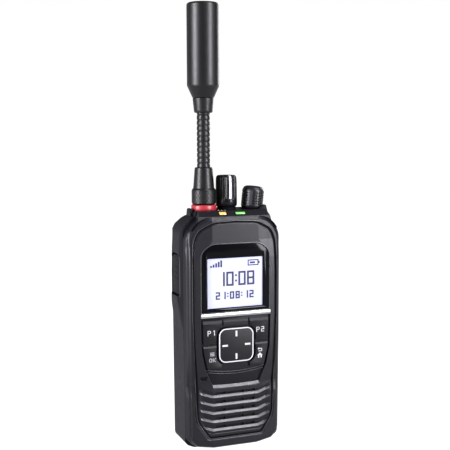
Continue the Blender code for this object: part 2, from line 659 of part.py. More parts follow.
def battery():
    low_y = BAY_Y + GAP
    lid_y = low_y + 1.4
    top = BAY_TOP - GAP
    shell = prism("battery_case", REAR_BODY, low_y, BACK, arc=5)
    limit(shell, prism("battery_plan", list(reversed(PLAN_BACK)), -5, 140, axis="Z", arc=3))
    limit(shell, box("battery_span", (-40, -20, -5), (40, 20, top)))
    inner = [(-24.5, 5.0, 2), (24.5, 5.0, 2), (24.5, top - WALL, 1), (-24.5, top - WALL, 1)]
    cut(shell, prism("battery_hollow", inner, 0, BACK - 1.8, arc=2))
    latch_pocket = [(-9, 5.5, 1), (9, 5.5, 1), (9, 15.0, 1), (-9, 15.0, 1)]
    cut(shell, prism("latch_pocket", latch_pocket, BACK - 1.3, 30, arc=2))
    finish(shell, "charcoal_plastic")
    lid = prism("battery_lid", pulled_in(inner, GAP), low_y, lid_y, arc=2)
    cut(lid, box("lid_window", (-7, 0, 22), (7, 10, 29)))
    finish(lid, "charcoal_plastic")
    finish(box("battery_cell", (-21, lid_y + GAP, 33), (21, BACK - 2.4, 80)), "satin_silver")
    board = box("battery_board", (-20, lid_y + GAP, 9), (20, lid_y + 1.5, 31.5))
    finish(board, "board_green")
    latch = prism("battery_latch", [(-7.5, 6.0, 1), (7.5, 6.0, 1), (7.5, 12.3, 1), (-7.5, 12.3, 1)],
                  BACK - 1.0, BACK + 0.7, arc=2)
    bevel_where(latch, 0.4, 1, at_y(BACK + 0.7))
    finish(latch, "black_gloss")


# ---------------------------------------------------------------- jack cover

def jack_cover():
    hinge_x, hinge_y = JACK_HINGE
    outline = [(JACK_FRONT, JACK_LOW, 1.5), (hinge_y, JACK_LOW, 0), (hinge_y, JACK_TOP, 0),
               (JACK_FRONT, JACK_TOP, 1.5)]
    cover = prism("jack_cover", outline, JACK_FLOOR + GAP, JACK_FACE, axis="X")
    join(cover, rod("jack_knuckle", (hinge_x, hinge_y, JACK_LOW), (hinge_x, hinge_y, JACK_TOP), 1.1))
    join(cover, rod("jack_trunnions", (hinge_x, hinge_y, JACK_LOW - 1.6),
                    (hinge_x, hinge_y, JACK_TOP + 1.6), 0.5, sides=12))
    cut(cover, rod("jack_screw_hole", (20, 0, JACK_SCREW_Z), (40, 0, JACK_SCREW_Z), 2.3))
    finish(cover, "black_rubber")
    screw = rod("jack_screw", (JACK_FLOOR + GAP, 0, JACK_SCREW_Z),
                (JACK_FACE + 0.9, 0, JACK_SCREW_Z), 2.0)
    cut(screw, box("jack_screw_slot", (JACK_FACE + 0.3, -3, JACK_SCREW_Z - 0.4),
                   (40, 3, JACK_SCREW_Z + 0.4)))
    finish(screw, "black_steel")


# ---------------------------------------------------------------- belt clip

def belt_clip():
    foot = BACK + GAP
    seat = [(-9.5, 99.0, 2), (9.5, 99.0, 2), (9.5, 122.0, 2), (-9.5, 122.0, 2)]
    bracket = prism("clip_bracket", seat, foot, foot + 2.0, arc=2)
    for side in (-1, 1):
        ear = [(foot + 1.5, CLIP_PIN_Z - 4, 0), (CLIP_PIN_Y, CLIP_PIN_Z - 2.2, 2.0),
               (CLIP_PIN_Y + 2.2, CLIP_PIN_Z, 2.0), (CLIP_PIN_Y, CLIP_PIN_Z + 2.2, 2.0),
               (foot + 1.5, CLIP_PIN_Z + 4, 0)]
        x = sorted((side * 5.0, side * 7.0))
        join(bracket, prism(f"clip_ear_{side}", ear, *x, axis="X", arc=2))
    cut(bracket, rod("clip_pin_way", (-20, CLIP_PIN_Y, CLIP_PIN_Z), (20, CLIP_PIN_Y, CLIP_PIN_Z), 1.5))
    cut(bracket, rod("clip_screw_way", (0, 0, 106.0), (0, 30, 106.0), 1.3, sides=12))
    finish(bracket, "charcoal_plastic")
    screw = rod("clip_screw", (0, BACK - 3.2, 106.0), (0, foot + 2.4, 106.0), 1.0, sides=12)
    join(screw, rod("clip_screw_head", (0, foot + 2.3, 106.0), (0, foot + 3.4, 106.0), 2.0))
    finish(screw, "black_steel")
    pin = rod("clip_pin", (-9.4, CLIP_PIN_Y, CLIP_PIN_Z), (9.4, CLIP_PIN_Y, CLIP_PIN_Z), 1.2)
    finish(pin, "tinned_steel")
    side_view = [(25.2, 127.0, 1.2), (23.4, 127.4, 0.5), (23.3, CLIP_PIN_Z, 6.0),
                 (21.6, CLIP_LOW + 6, 5.0), (20.7, CLIP_LOW, 0.8), (22.4, CLIP_LOW - 1.0, 0.8),
                 (23.6, CLIP_LOW + 6, 5.0), (25.3, CLIP_PIN_Z, 6.0)]
    clip = prism("belt_clip", side_view, -CLIP_HALF, CLIP_HALF, axis="X", arc=3)
    for side in (-1, 1):
        lug = [(CLIP_PIN_Y - 2.2, CLIP_PIN_Z, 2.0), (CLIP_PIN_Y, CLIP_PIN_Z - 2.4, 2.0),
               (24.0, CLIP_PIN_Z - 5, 0), (24.0, CLIP_PIN_Z + 5, 0),
               (CLIP_PIN_Y, CLIP_PIN_Z + 2.4, 2.0)]
        x = sorted((side * 7.4, side * CLIP_HALF))
        join(clip, prism(f"clip_lug_{side}", lug, *x, axis="X", arc=2))
    cut(clip, rod("clip_way", (-20, CLIP_PIN_Y, CLIP_PIN_Z), (20, CLIP_PIN_Y, CLIP_PIN_Z), 1.5))
    cut(clip, box("clip_ear_room", (-7.4, 15, CLIP_PIN_Z - 3.2), (7.4, 24.4, CLIP_PIN_Z + 3.2)))
    finish(clip, "charcoal_plastic")
    clip_spring()


def clip_spring():
    """A torsion spring of a few turns round the pin, with its two legs."""
    turns, each, radius, pitch = 3.0, 12, 1.9, 1.1
    curve = bpy.data.curves.new("clip_spring_wire", "CURVE")
    curve.dimensions = "3D"
    curve.bevel_depth = 0.35 * MM
    curve.bevel_resolution = 1
    curve.render_resolution_u = 0
    curve.use_fill_caps = True
    count = int(turns * each) + 1
    coil = []
    for step in range(count):
        angle = 2 * math.pi * step / each
        coil.append(Vector((pitch * (step / each - turns / 2), CLIP_PIN_Y + radius * math.sin(angle),
                            CLIP_PIN_Z + radius * math.cos(angle))))
    points = [coil[0] + Vector((0, -1.6, 0.0))] + coil + [coil[-1] + Vector((0, 1.3, -0.2))]
    spline = curve.splines.new("POLY")
    spline.points.add(len(points) - 1)
    for place, point in zip(spline.points, points):
        place.co = (*(point * MM), 1.0)
    guide = bpy.data.objects.new("clip_spring_guide", curve)
    CUTTERS.objects.link(guide)
    seen = guide.evaluated_get(bpy.context.evaluated_depsgraph_get())
    mesh = bpy.data.meshes.new_from_object(seen)
    bpy.data.objects.remove(guide, do_unlink=True)
    bm = bmesh.new()
    bm.from_mesh(mesh)
    bmesh.ops.remove_doubles(bm, verts=bm.verts, dist=0.000001)
    bmesh.ops.scale(bm, vec=(1 / MM, 1 / MM, 1 / MM), verts=bm.verts)
    finish(add("clip_spring", bm), "tinned_steel")


front_case()
rear_case()
case_gasket()
indicator_lenses()
display()
keypad()
sound_parts()
boards()
case_screws()
ptt_key()
rotary_selector()
volume_control()
antenna()
battery()
jack_cover()
belt_clip()
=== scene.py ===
"""The finished satellite phone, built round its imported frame.

Lengths are in millimetres in the phone's own frame, X to the right of someone facing the
front, Y from front to back and Z up. They are turned into metres where a mesh is made.
"""
import json
import math

import bmesh
import bpy
import numpy as np
from mathutils import Matrix, Vector


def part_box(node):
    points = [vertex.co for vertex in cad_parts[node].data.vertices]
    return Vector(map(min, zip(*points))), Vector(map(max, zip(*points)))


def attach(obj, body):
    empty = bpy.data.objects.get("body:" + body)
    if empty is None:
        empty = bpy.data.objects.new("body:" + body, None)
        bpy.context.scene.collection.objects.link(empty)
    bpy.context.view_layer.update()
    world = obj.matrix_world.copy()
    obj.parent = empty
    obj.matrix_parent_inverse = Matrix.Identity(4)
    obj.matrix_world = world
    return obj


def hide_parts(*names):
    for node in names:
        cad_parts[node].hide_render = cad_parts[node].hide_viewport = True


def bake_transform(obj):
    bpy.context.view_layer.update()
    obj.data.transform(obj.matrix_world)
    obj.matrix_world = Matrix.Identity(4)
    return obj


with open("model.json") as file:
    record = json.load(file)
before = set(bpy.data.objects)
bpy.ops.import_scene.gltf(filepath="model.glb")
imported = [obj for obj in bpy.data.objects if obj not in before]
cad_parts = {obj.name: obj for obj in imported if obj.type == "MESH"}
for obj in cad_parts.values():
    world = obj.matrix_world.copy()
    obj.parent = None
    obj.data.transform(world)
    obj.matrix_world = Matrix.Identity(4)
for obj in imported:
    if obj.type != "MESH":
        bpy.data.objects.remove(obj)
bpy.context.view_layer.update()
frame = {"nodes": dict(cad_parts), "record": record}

MM = 0.001


class Span:
    """The box of a CAD node."""

    def __init__(self, node):
        low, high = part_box(node)
        self.left, self.front, self.low = (value / MM for value in low)
        self.right, self.back, self.top = (value / MM for value in high)
        self.x = (self.left + self.right) / 2
        self.z = (self.low + self.top) / 2


def joint_place(name):
    """The point that a joint turns about."""
    joint = next(j for j in frame["record"]["behaviour"]["joints"] if j["name"] == name)
    return [value / MM for value in joint["pos_m"]]


CASE = Span("front_case")
PACK = Span("battery_case")
WINDOW = Span("display_window")
TRIM = Span("trim_bar")
PAD = Span("dpad_cap")
RING = Span("antenna_ring")
NUT = Span("antenna_base")
COLLAR = Span("antenna_collar")
RADOME = Span("antenna_radome")
ROTARY = Span("rotary_knob")
JACK = Span("jack_cover")
LATCH = Span("battery_latch")

FACE = CASE.front
SEAM = CASE.back
SIDE = CASE.right
BACK = PACK.back
DECK = 134.2
SHOULDER = DECK - 3.0
DECK_LEFT = -22.0
DECK_RIGHT = 22.2
BULGE = 2.0
ANTENNA_X = RING.x
VOLUME_LEAN = math.radians(6.0)
VOLUME_FOOT = (16.3, 0.0, 134.0)
VOLUME_LONG = 13.0
VOLUME_R = 6.3
SEAM_GAP = 0.3
WALL = 2.0
MIDDLE_Z = 66.0

# The case's top slopes down behind BACK_SLOPE, and the deck's front leans back above a step
BACK_SLOPE = 5.0
BACK_FALL = 0.36
DECK_TAPER = 0.3
DECK_STEP = 1.3
DECK_SLOPE = 1.25

# The rounded edge of the front, and its chamfer at the shoulders
EDGE_WIDE = 2.1
EDGE_DEEP = 2.2
CHAMFER = 1.4

LCD_HALF = 16.65
LCD_LOW = 80.2
LCD_TOP = 108.2
LEGEND_X = 14.7
LEGEND_LOW = 66.6 - 1.5
LAMP_AIM = (0.0, 0.0, 0.12)
LAMP_TINT = (0.96, 0.955, 1.0)

GRILLE_LINES = (29.8, 25.0, 20.2, 15.4, 10.6)
GRILLE_HALF = 12.8
GRILLE_RIB = 6.0
SLOT_LOW = 0.8
SLOT_TOP = 2.4


# ---- outlines

def rounded(corners, arc=8):
    """Points of an outline whose corners (a, b, radius) are rounded by arcs."""
    points = []
    for i, (a, b, radius) in enumerate(corners):
        here = Vector((a, b))
        if not radius:
            points.append(here)
            continue
        back = (Vector(corners[i - 1][:2]) - here).normalized()
        ahead = (Vector(corners[(i + 1) % len(corners)][:2]) - here).normalized()
        half = back.angle(ahead) / 2
        centre = here + (back + ahead).normalized() * radius / math.sin(half)
        first = here + back * radius / math.tan(half) - centre
        last = here + ahead * radius / math.tan(half) - centre
        turn = math.atan2(first.cross(last), first.dot(last))
        points += [centre + Matrix.Rotation(turn * s / arc, 2) @ first for s in range(arc + 1)]
    return points


def moved_in(points, inset):
    """A counter-clockwise outline moved inwards by the same distance all round."""
    result = []
    for i, here in enumerate(points):
        before = (here - points[i - 1]).normalized()
        after = (points[(i + 1) % len(points)] - here).normalized()
        normal = (Vector((-before.y, before.x)) + Vector((-after.y, after.x))).normalized()
        lean = max(normal.dot(Vector((-before.y, before.x))), 0.3)
        result.append(here + normal * inset / lean)
    return result


def mirrored(half):
    """A counter-clockwise outline from its right half, listed bottom to top."""
    return list(half) + [(-a, b, radius) for a, b, radius in reversed(half)]


def rectangle(left, low, right, top, radius=0.0):
    return [(left, low, radius), (right, low, radius), (right, top, radius), (left, top, radius)]


def tile(left, low, right, top, radius, arc):
    """A rectangle with rounded corners."""
    return rounded(rectangle(left, low, right, top, radius), arc)


BODY = mirrored([
    (13.5, 0.0, 5.0), (24.6, 1.7, 2.5), (28.4, 5.6, 4.0), (SIDE, 40.0, 60.0),
    (SIDE, SHOULDER, 14.0),
])
FACE_BODY = mirrored([
    (12.8, 0.0, 5.0), (22.8, 1.5, 3.0), (26.3, 5.4, 4.0), (27.4, 66.0, 90.0),
    (27.4, SHOULDER, 13.5),
])
REAR_BODY = [
    (23.0, 0.0, 3.0), (28.4, 2.4, 4.0), (SIDE, 40.0, 60.0), (SIDE, SHOULDER, 14.0),
    (-SIDE - 0.3, SHOULDER + 0.6, 11.0), (-SIDE - 1.2, 114.5, 3.0),
    (-SIDE - BULGE, 85.0, 3.0), (-SIDE, 68.0, 12.0), (-28.4, 2.4, 4.0), (-23.0, 0.0, 3.0),
]
PANEL = mirrored([
    (15.6, 6.3, 1.5), (22.5, 16.3, 12.0), (23.2, 34.0, 40.0), (24.9, 75.0, 60.0),
    (24.9, 100.0, 60.0), (24.4, 117.0, 14.0), (21.8, 123.6, 8.0), (13.6, 127.9, 14.0),
    (0.01, 128.5, 0.0),
])
SHIELD = mirrored([
    (13.4, 34.3, 1.6), (18.8, 46.8, 10.0), (20.8, 57.0, 14.0), (21.2, TRIM.low, 0.3),
])
SCREEN = [
    (-WINDOW.right, WINDOW.low, 0.4), (WINDOW.right, WINDOW.low, 0.4),
    (WINDOW.right, 111.6, 6.0), (14.6, WINDOW.top - 0.2, 9.0), (-14.6, WINDOW.top - 0.2, 9.0),
    (-WINDOW.right, 111.6, 6.0),
]
CROSS = rectangle(PAD.left, PAD.low, PAD.right, PAD.top, 4.2)
POCKET = rounded([(-7.0, 86.6, 1.5), (7.0, 86.6, 1.5), (7.0, 110.5, 4.0), (-7.0, 110.5, 4.5)])


# ---- materials

def material(name, colour, roughness, metallic=0.0, grain=0.0, grain_size=0.35, mottle=0.12,
             rough_spread=0.08, coat=0.0, specular=0.5, emission=0.0):
    """A moulded, painted or metal surface with fine grain and slow changes of tone."""
    made = bpy.data.materials.new(name)
    made.use_nodes = True
    nodes, links = made.node_tree.nodes, made.node_tree.links
    shader = nodes["Principled BSDF"]
    shader.inputs["Metallic"].default_value = metallic
    shader.inputs["Coat Weight"].default_value = coat
    shader.inputs["Coat Roughness"].default_value = 0.08
    shader.inputs["Specular IOR Level"].default_value = specular
    place = nodes.new("ShaderNodeTexCoord")

    def noise(size, detail):
        made_noise = nodes.new("ShaderNodeTexNoise")
        made_noise.inputs["Scale"].default_value = 1.0 / (size * MM)
        made_noise.inputs["Detail"].default_value = detail
        links.new(place.outputs["Object"], made_noise.inputs["Vector"])
        return made_noise.outputs["Fac"]

    tone = nodes.new("ShaderNodeMapRange")
    tone.inputs["To Min"].default_value = 1.0 - mottle
    tone.inputs["To Max"].default_value = 1.0 + mottle
    links.new(noise(9.0, 3.0), tone.inputs["Value"])
    tint = nodes.new("ShaderNodeMix")
    tint.data_type = "RGBA"
    tint.blend_type = "MULTIPLY"
    tint.inputs["Factor"].default_value = 1.0
    tint.inputs["A"].default_value = (*colour, 1.0)
    links.new(tone.outputs["Result"], tint.inputs["B"])
    links.new(tint.outputs["Result"], shader.inputs["Base Color"])
    if emission:
        shader.inputs["Emission Strength"].default_value = emission
        links.new(tint.outputs["Result"], shader.inputs["Emission Color"])
    wear = nodes.new("ShaderNodeMapRange")
    wear.inputs["To Min"].default_value = max(roughness - rough_spread, 0.02)
    wear.inputs["To Max"].default_value = min(roughness + rough_spread, 1.0)
    links.new(noise(2.5, 4.0), wear.inputs["Value"])
    links.new(wear.outputs["Result"], shader.inputs["Roughness"])
    if grain:
        bump = nodes.new("ShaderNodeBump")
        bump.inputs["Strength"].default_value = grain
        bump.inputs["Distance"].default_value = 0.06 * MM
        links.new(noise(grain_size, 2.0), bump.inputs["Height"])
        links.new(bump.outputs["Normal"], shader.inputs["Normal"])
    return made


CHARCOAL = material("textured_charcoal", (0.0065, 0.0065, 0.0092), 0.36, grain=0.25, specular=0.29)
SIDE_PLASTIC = material("side_charcoal", (0.009, 0.009, 0.0118), 0.46, grain=0.3, specular=0.1)
KEYTOP = material("keytop_black", (0.005, 0.005, 0.0065), 0.45, grain=0.2, grain_size=0.25,
                  specular=0.25)
FRAME_BLACK = material("frame_black", (0.005, 0.005, 0.007), 0.35, grain=0.2, specular=0.22)
RUBBER = material("soft_rubber", (0.006, 0.006, 0.0075), 0.6, grain=0.5, grain_size=0.3,
                  specular=0.16)
KNOB = material("knob_black", (0.004, 0.004, 0.005), 0.3, grain=0.15, specular=0.2)
KNURL = material("knurled_black", (0.008, 0.008, 0.010), 0.4, grain=0.1, specular=0.42)
SATIN = material("antenna_satin", (0.003, 0.003, 0.004), 0.4, grain=0.08, grain_size=0.5,
                 specular=0.36)
GLOSS = material("black_gloss", (0.003, 0.003, 0.004), 0.12, rough_spread=0.03, specular=0.1)
# Near-black painted shade, for dark strips and fillers put in grooves, gaps and recesses that fall into
# shade.
SHADOW = material("painted_shade_black", (0.002, 0.002, 0.002), 0.7, specular=0.1)
CLOTH = material("speaker_mesh", (0.004, 0.004, 0.004), 0.9, grain=1.0, grain_size=0.5)
SILVER = material("satin_silver", (0.27, 0.27, 0.275), 0.34, metallic=0.85, grain=0.12,
                  grain_size=0.2, mottle=0.05)
# A paler, shinier copy of the charcoal, painted on edges, lips, rims and facets as a highlight.
PAINTED_HIGHLIGHT = material("painted_highlight_plastic", (0.028, 0.028, 0.033), 0.3, grain=0.1, specular=0.52)
# A paler copy of the keytop black, painted on the keys' upper facets as a highlight.
KEY_HIGHLIGHT = material("key_facet_highlight", (0.012, 0.012, 0.014), 0.36, grain=0.2, specular=0.25)
LEGEND = material("printed_white", (0.34, 0.34, 0.35), 0.5, grain=0.15, mottle=0.04)
DIM_LEGEND = material("printed_grey", (0.20, 0.20, 0.21), 0.5, grain=0.15, mottle=0.05)
SCREEN_LIT = material("screen_lit", (0.20, 0.205, 0.30), 0.35, mottle=0.015, emission=2.1,
                      specular=0.1)
SCREEN_INK = material("screen_ink", (0.045, 0.045, 0.07), 0.4, mottle=0.03, specular=0.1)
RED = material("red_ring_gloss", (0.23, 0.018, 0.026), 0.4, coat=0.05, grain=0.1)
AMBER = material("amber_lens", (0.50, 0.28, 0.09), 0.3, mottle=0.1, emission=0.6, coat=0.1)
GREEN = material("green_lens", (0.11, 0.36, 0.08), 0.3, mottle=0.15, emission=0.6, coat=0.1)
STEEL = material("black_steel", (0.10, 0.10, 0.105), 0.32, metallic=1.0, grain=0.2)
BRIGHT = material("tinned_steel", (0.60, 0.60, 0.62), 0.28, metallic=1.0, grain=0.15)
BRASS = material("gilded_brass", (0.72, 0.52, 0.24), 0.26, metallic=1.0, grain=0.1)
BOARD = material("board_green", (0.015, 0.085, 0.04), 0.42, grain=0.3, grain_size=0.8)
CELL = material("cell_wrap", (0.34, 0.36, 0.40), 0.4, metallic=0.2, grain=0.1)


# ---- making pieces

def finish_piece(piece, body, look, nodes=(), sharp=32.0):
    """Shades a piece, gives it its material and puts it on its body."""
    piece.data.materials.clear()
    piece.data.materials.append(look)
    piece.data.shade_smooth()
    piece.data.set_sharp_from_angle(angle=math.radians(sharp))
    if body:
        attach(piece, body)
    if nodes:
        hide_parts(*nodes)
    return piece


def add(name, bm):
    """An object of a bmesh in millimetres."""
    bmesh.ops.scale(bm, vec=(MM, MM, MM), verts=bm.verts)
    bmesh.ops.recalc_face_normals(bm, faces=bm.faces)
    mesh = bpy.data.meshes.new(name)
    bm.to_mesh(mesh)
    bm.free()
    piece = bpy.data.objects.new(name, mesh)
    bpy.context.scene.collection.objects.link(piece)
    return piece


def of_kind(geometry, kind):
    """The vertices or edges among what a bmesh operator made."""
    return [part for part in geometry if isinstance(part, kind)]


def bridge(bm, rows, closed):
    """Faces between rows of vertices, where each row may close into a ring."""
    for one, two in zip(rows, rows[1:]):
        for i in range(len(one) if closed else len(one) - 1):
            j = (i + 1) % len(one)
            bm.faces.new((one[i], one[j], two[j], two[i]))


AXIS_TURNS = {
    "X": Matrix(((0, 0, 1), (1, 0, 0), (0, 1, 0))).to_4x4(),
    "Y": Matrix(((1, 0, 0), (0, 0, 1), (0, 1, 0))).to_4x4(),
    "Z": Matrix.Identity(4),
}


def prism(name, outlines, low, high, axis="Y", edge=0.0, segments=2, ends="low"):
    """Flat outlines given thickness along an axis, with the rims of one end or both rounded.

    The first outline is the outer one and any others are holes.
    """
    bm = bmesh.new()
    for outline in outlines:
        corners = [bm.verts.new((p[0], p[1], low)) for p in outline]
        for i, corner in enumerate(corners):
            bm.edges.new((corners[i - 1], corner))
    bmesh.ops.triangle_fill(bm, use_beauty=True, use_dissolve=False, edges=bm.edges[:])
    bmesh.ops.dissolve_limit(bm, angle_limit=0.001, verts=bm.verts[:], edges=bm.edges[:])
    grown = bmesh.ops.extrude_face_region(bm, geom=bm.faces[:])
    highlight_facet = of_kind(grown["geom"], bmesh.types.BMVert)
    bmesh.ops.translate(bm, vec=(0, 0, high - low), verts=highlight_facet)
    bmesh.ops.recalc_face_normals(bm, faces=bm.faces)
    if edge:
        planes = {"low": (low,), "high": (high,), "both": (low, high)}[ends]
        rims = [
            e for e in bm.edges
            if any(all(abs(v.co.z - plane) < 1e-4 for v in e.verts) for plane in planes)
            and len(e.link_faces) == 2
            and abs(e.link_faces[0].normal.z - e.link_faces[1].normal.z) > 0.5
        ]
        bmesh.ops.bevel(bm, geom=rims, offset=edge, segments=segments, affect="EDGES",
                        profile=0.5, clamp_overlap=False)
    bmesh.ops.transform(bm, matrix=AXIS_TURNS[axis], verts=bm.verts)
    return add(name, bm)


def boolean(piece, other, operation="DIFFERENCE"):
    """Applies one Boolean at once and removes the cutter."""
    change = piece.modifiers.new("shape", "BOOLEAN")
    change.operation = operation
    change.solver = "EXACT"
    change.object = other
    seen = piece.evaluated_get(bpy.context.evaluated_depsgraph_get())
    mesh = bpy.data.meshes.new_from_object(seen)
    piece.modifiers.clear()
    piece.data = mesh
    bpy.data.objects.remove(other, do_unlink=True)
    return piece


def lathe(name, profile, at=(0.0, 0.0, 0.0), steps=64, lean=0.0, radius=None, span=None):
    """A profile of (radius, height), top to bottom, turned about a vertical or leaning axis.

    radius(r, height, angle) may change the radius round the turn. With a span of two angles
    only that part of the turn is made, and the profile is then a closed loop.
    """
    bm = bmesh.new()
    full = span is None
    start, stop = (0.0, 2 * math.pi) if full else span
    columns = steps if full else steps + 1
    angles = [start + (stop - start) * i / steps for i in range(columns)]
    rings = []
    for angle in angles:
        ring = []
        for r, height in profile:
            reach = radius(r, height, angle) if radius else r
            ring.append(bm.verts.new((reach * math.sin(angle), -reach * math.cos(angle), height)))
        rings.append(ring)
    bridge(bm, rings + rings[:1] if full else rings, closed=not full)
    if full:
        bm.faces.new([ring[0] for ring in rings])
        bm.faces.new([ring[-1] for ring in reversed(rings)])
    else:
        bm.faces.new(rings[0])
        bm.faces.new(list(reversed(rings[-1])))
    bmesh.ops.remove_doubles(bm, verts=bm.verts, dist=0.0005)
    turn = Matrix.Translation(Vector(at)) @ Matrix.Rotation(lean, 4, "Y")
    bmesh.ops.transform(bm, matrix=turn, verts=bm.verts)
    return add(name, bm)


def refined(node, name, width, segments=2, angle=30.0, chosen=None):
    """A copy of a CAD node's shape with its edges rounded."""
    bm = bmesh.new()
    bm.from_mesh(frame["nodes"][node].data)
    bmesh.ops.scale(bm, vec=(1 / MM, 1 / MM, 1 / MM), verts=bm.verts)
    bmesh.ops.remove_doubles(bm, verts=bm.verts, dist=0.001)
    bmesh.ops.dissolve_limit(bm, angle_limit=0.01, verts=bm.verts[:], edges=bm.edges[:])
    edges = [
        e for e in bm.edges
        if len(e.link_faces) == 2 and e.calc_face_angle(0.0) > math.radians(angle)
        and (chosen is None or all(chosen(v.co) for v in e.verts))
    ]
    bmesh.ops.bevel(bm, geom=edges, offset=width, segments=segments, affect="EDGES",
                    profile=0.5, clamp_overlap=True)
    return add(name, bm)


def joined(name, pieces):
    """Several loose shapes as one mesh."""
    bm = bmesh.new()
    for piece in pieces:
        bm.from_mesh(piece.data)
        bpy.data.objects.remove(piece, do_unlink=True)
    mesh = bpy.data.meshes.new(name)
    bm.to_mesh(mesh)
    bm.free()
    whole = bpy.data.objects.new(name, mesh)
    bpy.context.scene.collection.objects.link(whole)
    return whole


# ---- front shell

def depth_inside(x, z, outline):
    """Distance from a closed outline, positive inside it, for arrays of points."""
    points = np.array([(p[0], p[1]) for p in outline])
    nearest = np.full(x.shape, 1e9)
    within = np.zeros(x.shape, bool)
    for (ax, az), (bx, bz) in zip(points, np.roll(points, -1, axis=0)):
        along_x, along_z = bx - ax, bz - az
        length = along_x ** 2 + along_z ** 2
        if length < 1e-12:
            continue
        t = np.clip(((x - ax) * along_x + (z - az) * along_z) / length, 0, 1)
        nearest = np.minimum(nearest, np.hypot(x - ax - t * along_x, z - az - t * along_z))
        if abs(along_z) > 1e-12:
            crossed = ((az > z) != (bz > z)) & (x < ax + (z - az) * along_x / along_z)
            within ^= crossed
    return np.where(within, nearest, -nearest)


def ramp(value, start, stop):
    return np.clip((value - start) / (stop - start), 0.0, 1.0)


def half_width(z, side, corners):
    """How far an outline and the deck reach to the left (-1) or right (1) at a height."""
    outline = [p for p in rounded(corners, 24) if p.x > 0]
    outline.sort(key=lambda p: (p.y, p.x))
    heights = np.array([p.y for p in outline])
    widths = np.array([p.x for p in outline])
    reach = np.interp(z, heights, widths)
    deck_end = DECK_RIGHT if side > 0 else -DECK_LEFT
    deck_reach = deck_end - DECK_TAPER * np.clip(z - 128.5, 0, None)
    return np.where(z > SHOULDER - 14, np.maximum(reach, deck_reach), reach)


def wing(x):
    """How far the grille's lines bend up towards the sides."""
    return 2.3 * np.clip((np.abs(x) - 13.6) / 7.2, 0, 1) ** 1.1


def side_fall(x, z):
    """How far the front falls back towards its sides."""
    fold = np.interp(z, (0, 31, 36, 47, 57, 108, 118), (14, 14, 14.5, 18.6, 20.9, 20.9, 14))
    slope = np.interp(z, (0, 30, 36, 50, 100, 116), (0.10, 0.12, 0.20, 0.16, 0.10, 0.13))
    return slope * np.clip(np.abs(x) - fold, 0, 10.5)


def front_depth(x, z):
    """How far the front surface lies behind the foremost plane."""
    body = depth_inside(x, z, rounded(FACE_BODY, 12))
    shoulder = ramp(z, 115, 123)
    near = 1 - np.clip(body / EDGE_WIDE, 0, 1)
    soft = EDGE_DEEP * (1 - np.sqrt(np.clip(1 - near ** 2, 0, 1)))
    edge = soft * (1 - shoulder) + CHAMFER * near * shoulder
    panel = depth_inside(x, z, rounded(PANEL, 10))
    groove = np.interp(panel, (-0.5, -0.25, 0.15, 0.4, 1.15), (0.0, 1.0, 1.0, 0.5, 0.08))
    foot = np.interp(panel, (-1.35, -0.25, 0.15), (0.0, 1.1, 0.0))
    groove = np.maximum(groove, foot * (1 - ramp(z, 20.0, 30.0)))
    depth = side_fall(x, z) + groove
    depth += grille_depth(x, z) * ramp(panel, 0.6, 1.6)
    slit = ramp(x, -21.0, -20.8) * (1 - ramp(x, -17.1, -16.9))
    depth += slit * (1.3 * ramp(z, 39.9, 40.3) * (1 - ramp(z, 41.2, 41.5))
                     - 0.35 * ramp(z, 38.9, 39.2) * (1 - ramp(z, 39.5, 40.0)))
    shield = depth_inside(x, z, rounded(SHIELD, 10))
    screen = depth_inside(x, z, rounded(SCREEN, 10))
    well = np.maximum(ramp(shield, -0.1, 0.35) * ramp(z, 34.5, 36.3), ramp(screen, -0.3, 0.1))
    depth = np.where(well > 0, np.maximum(depth, 1.7 * well), depth)
    depth = np.maximum(depth + edge, 0)
    beyond = DECK_STEP + DECK_SLOPE * np.clip(z - SHOULDER - 0.1, 0, None)
    return np.where((body < 0) & (z > 124.0) | (z > SHOULDER), beyond, depth)


def grille_depth(x, z):
    """The louvres: a face, a sloping facet above it that is painted pale as a highlight, and a slot above
    that.
    """
    total = np.zeros(x.shape)
    strength = 1 - ramp(np.abs(x), 18.8, 21.6)
    for line in GRILLE_LINES:
        below = line + wing(x) - z
        face = 0.35 * ramp(below, 0.5, 2.2) * (below < 2.2)
        facet = 1.05 * (1 - ramp(below, -0.7, 0.5)) * (below >= -0.7)
        floor = (1.05 - 0.4 * ramp(-below, 0.7, 2.3)) * ((below < -0.7) & (below > -2.6))
        total = np.maximum(total, np.where(below > -2.6, face + facet + floor, 0)
                           * (below < 2.2))
    return total * strength


def rows_between(stops, features):
    """Heights with a step for each stretch, and one at each feature."""
    heights = []
    for (start, step), (stop, _) in zip(stops, stops[1:]):
        count = max(1, round((stop - start) / step))
        heights += [start + (stop - start) * i / count for i in range(count)]
    heights.append(stops[-1][0])
    kept = [h for h in heights if all(abs(h - f) > 0.09 for f in features)]
    return np.array(sorted(set(kept) | set(features)))


def is_slot(x, z):
    """True inside the holes of the grille."""
    span = abs(x) < GRILLE_HALF and abs(abs(x) - GRILLE_RIB) > 0.4
    return span and any(SLOT_LOW < z - line < SLOT_TOP for line in GRILLE_LINES)


def behind_pad(x, z):
    """True in the opening behind the direction pad."""
    return abs(x) < PAD.right + 0.6 and PAD.low - 0.6 < z < PAD.top + 0.6


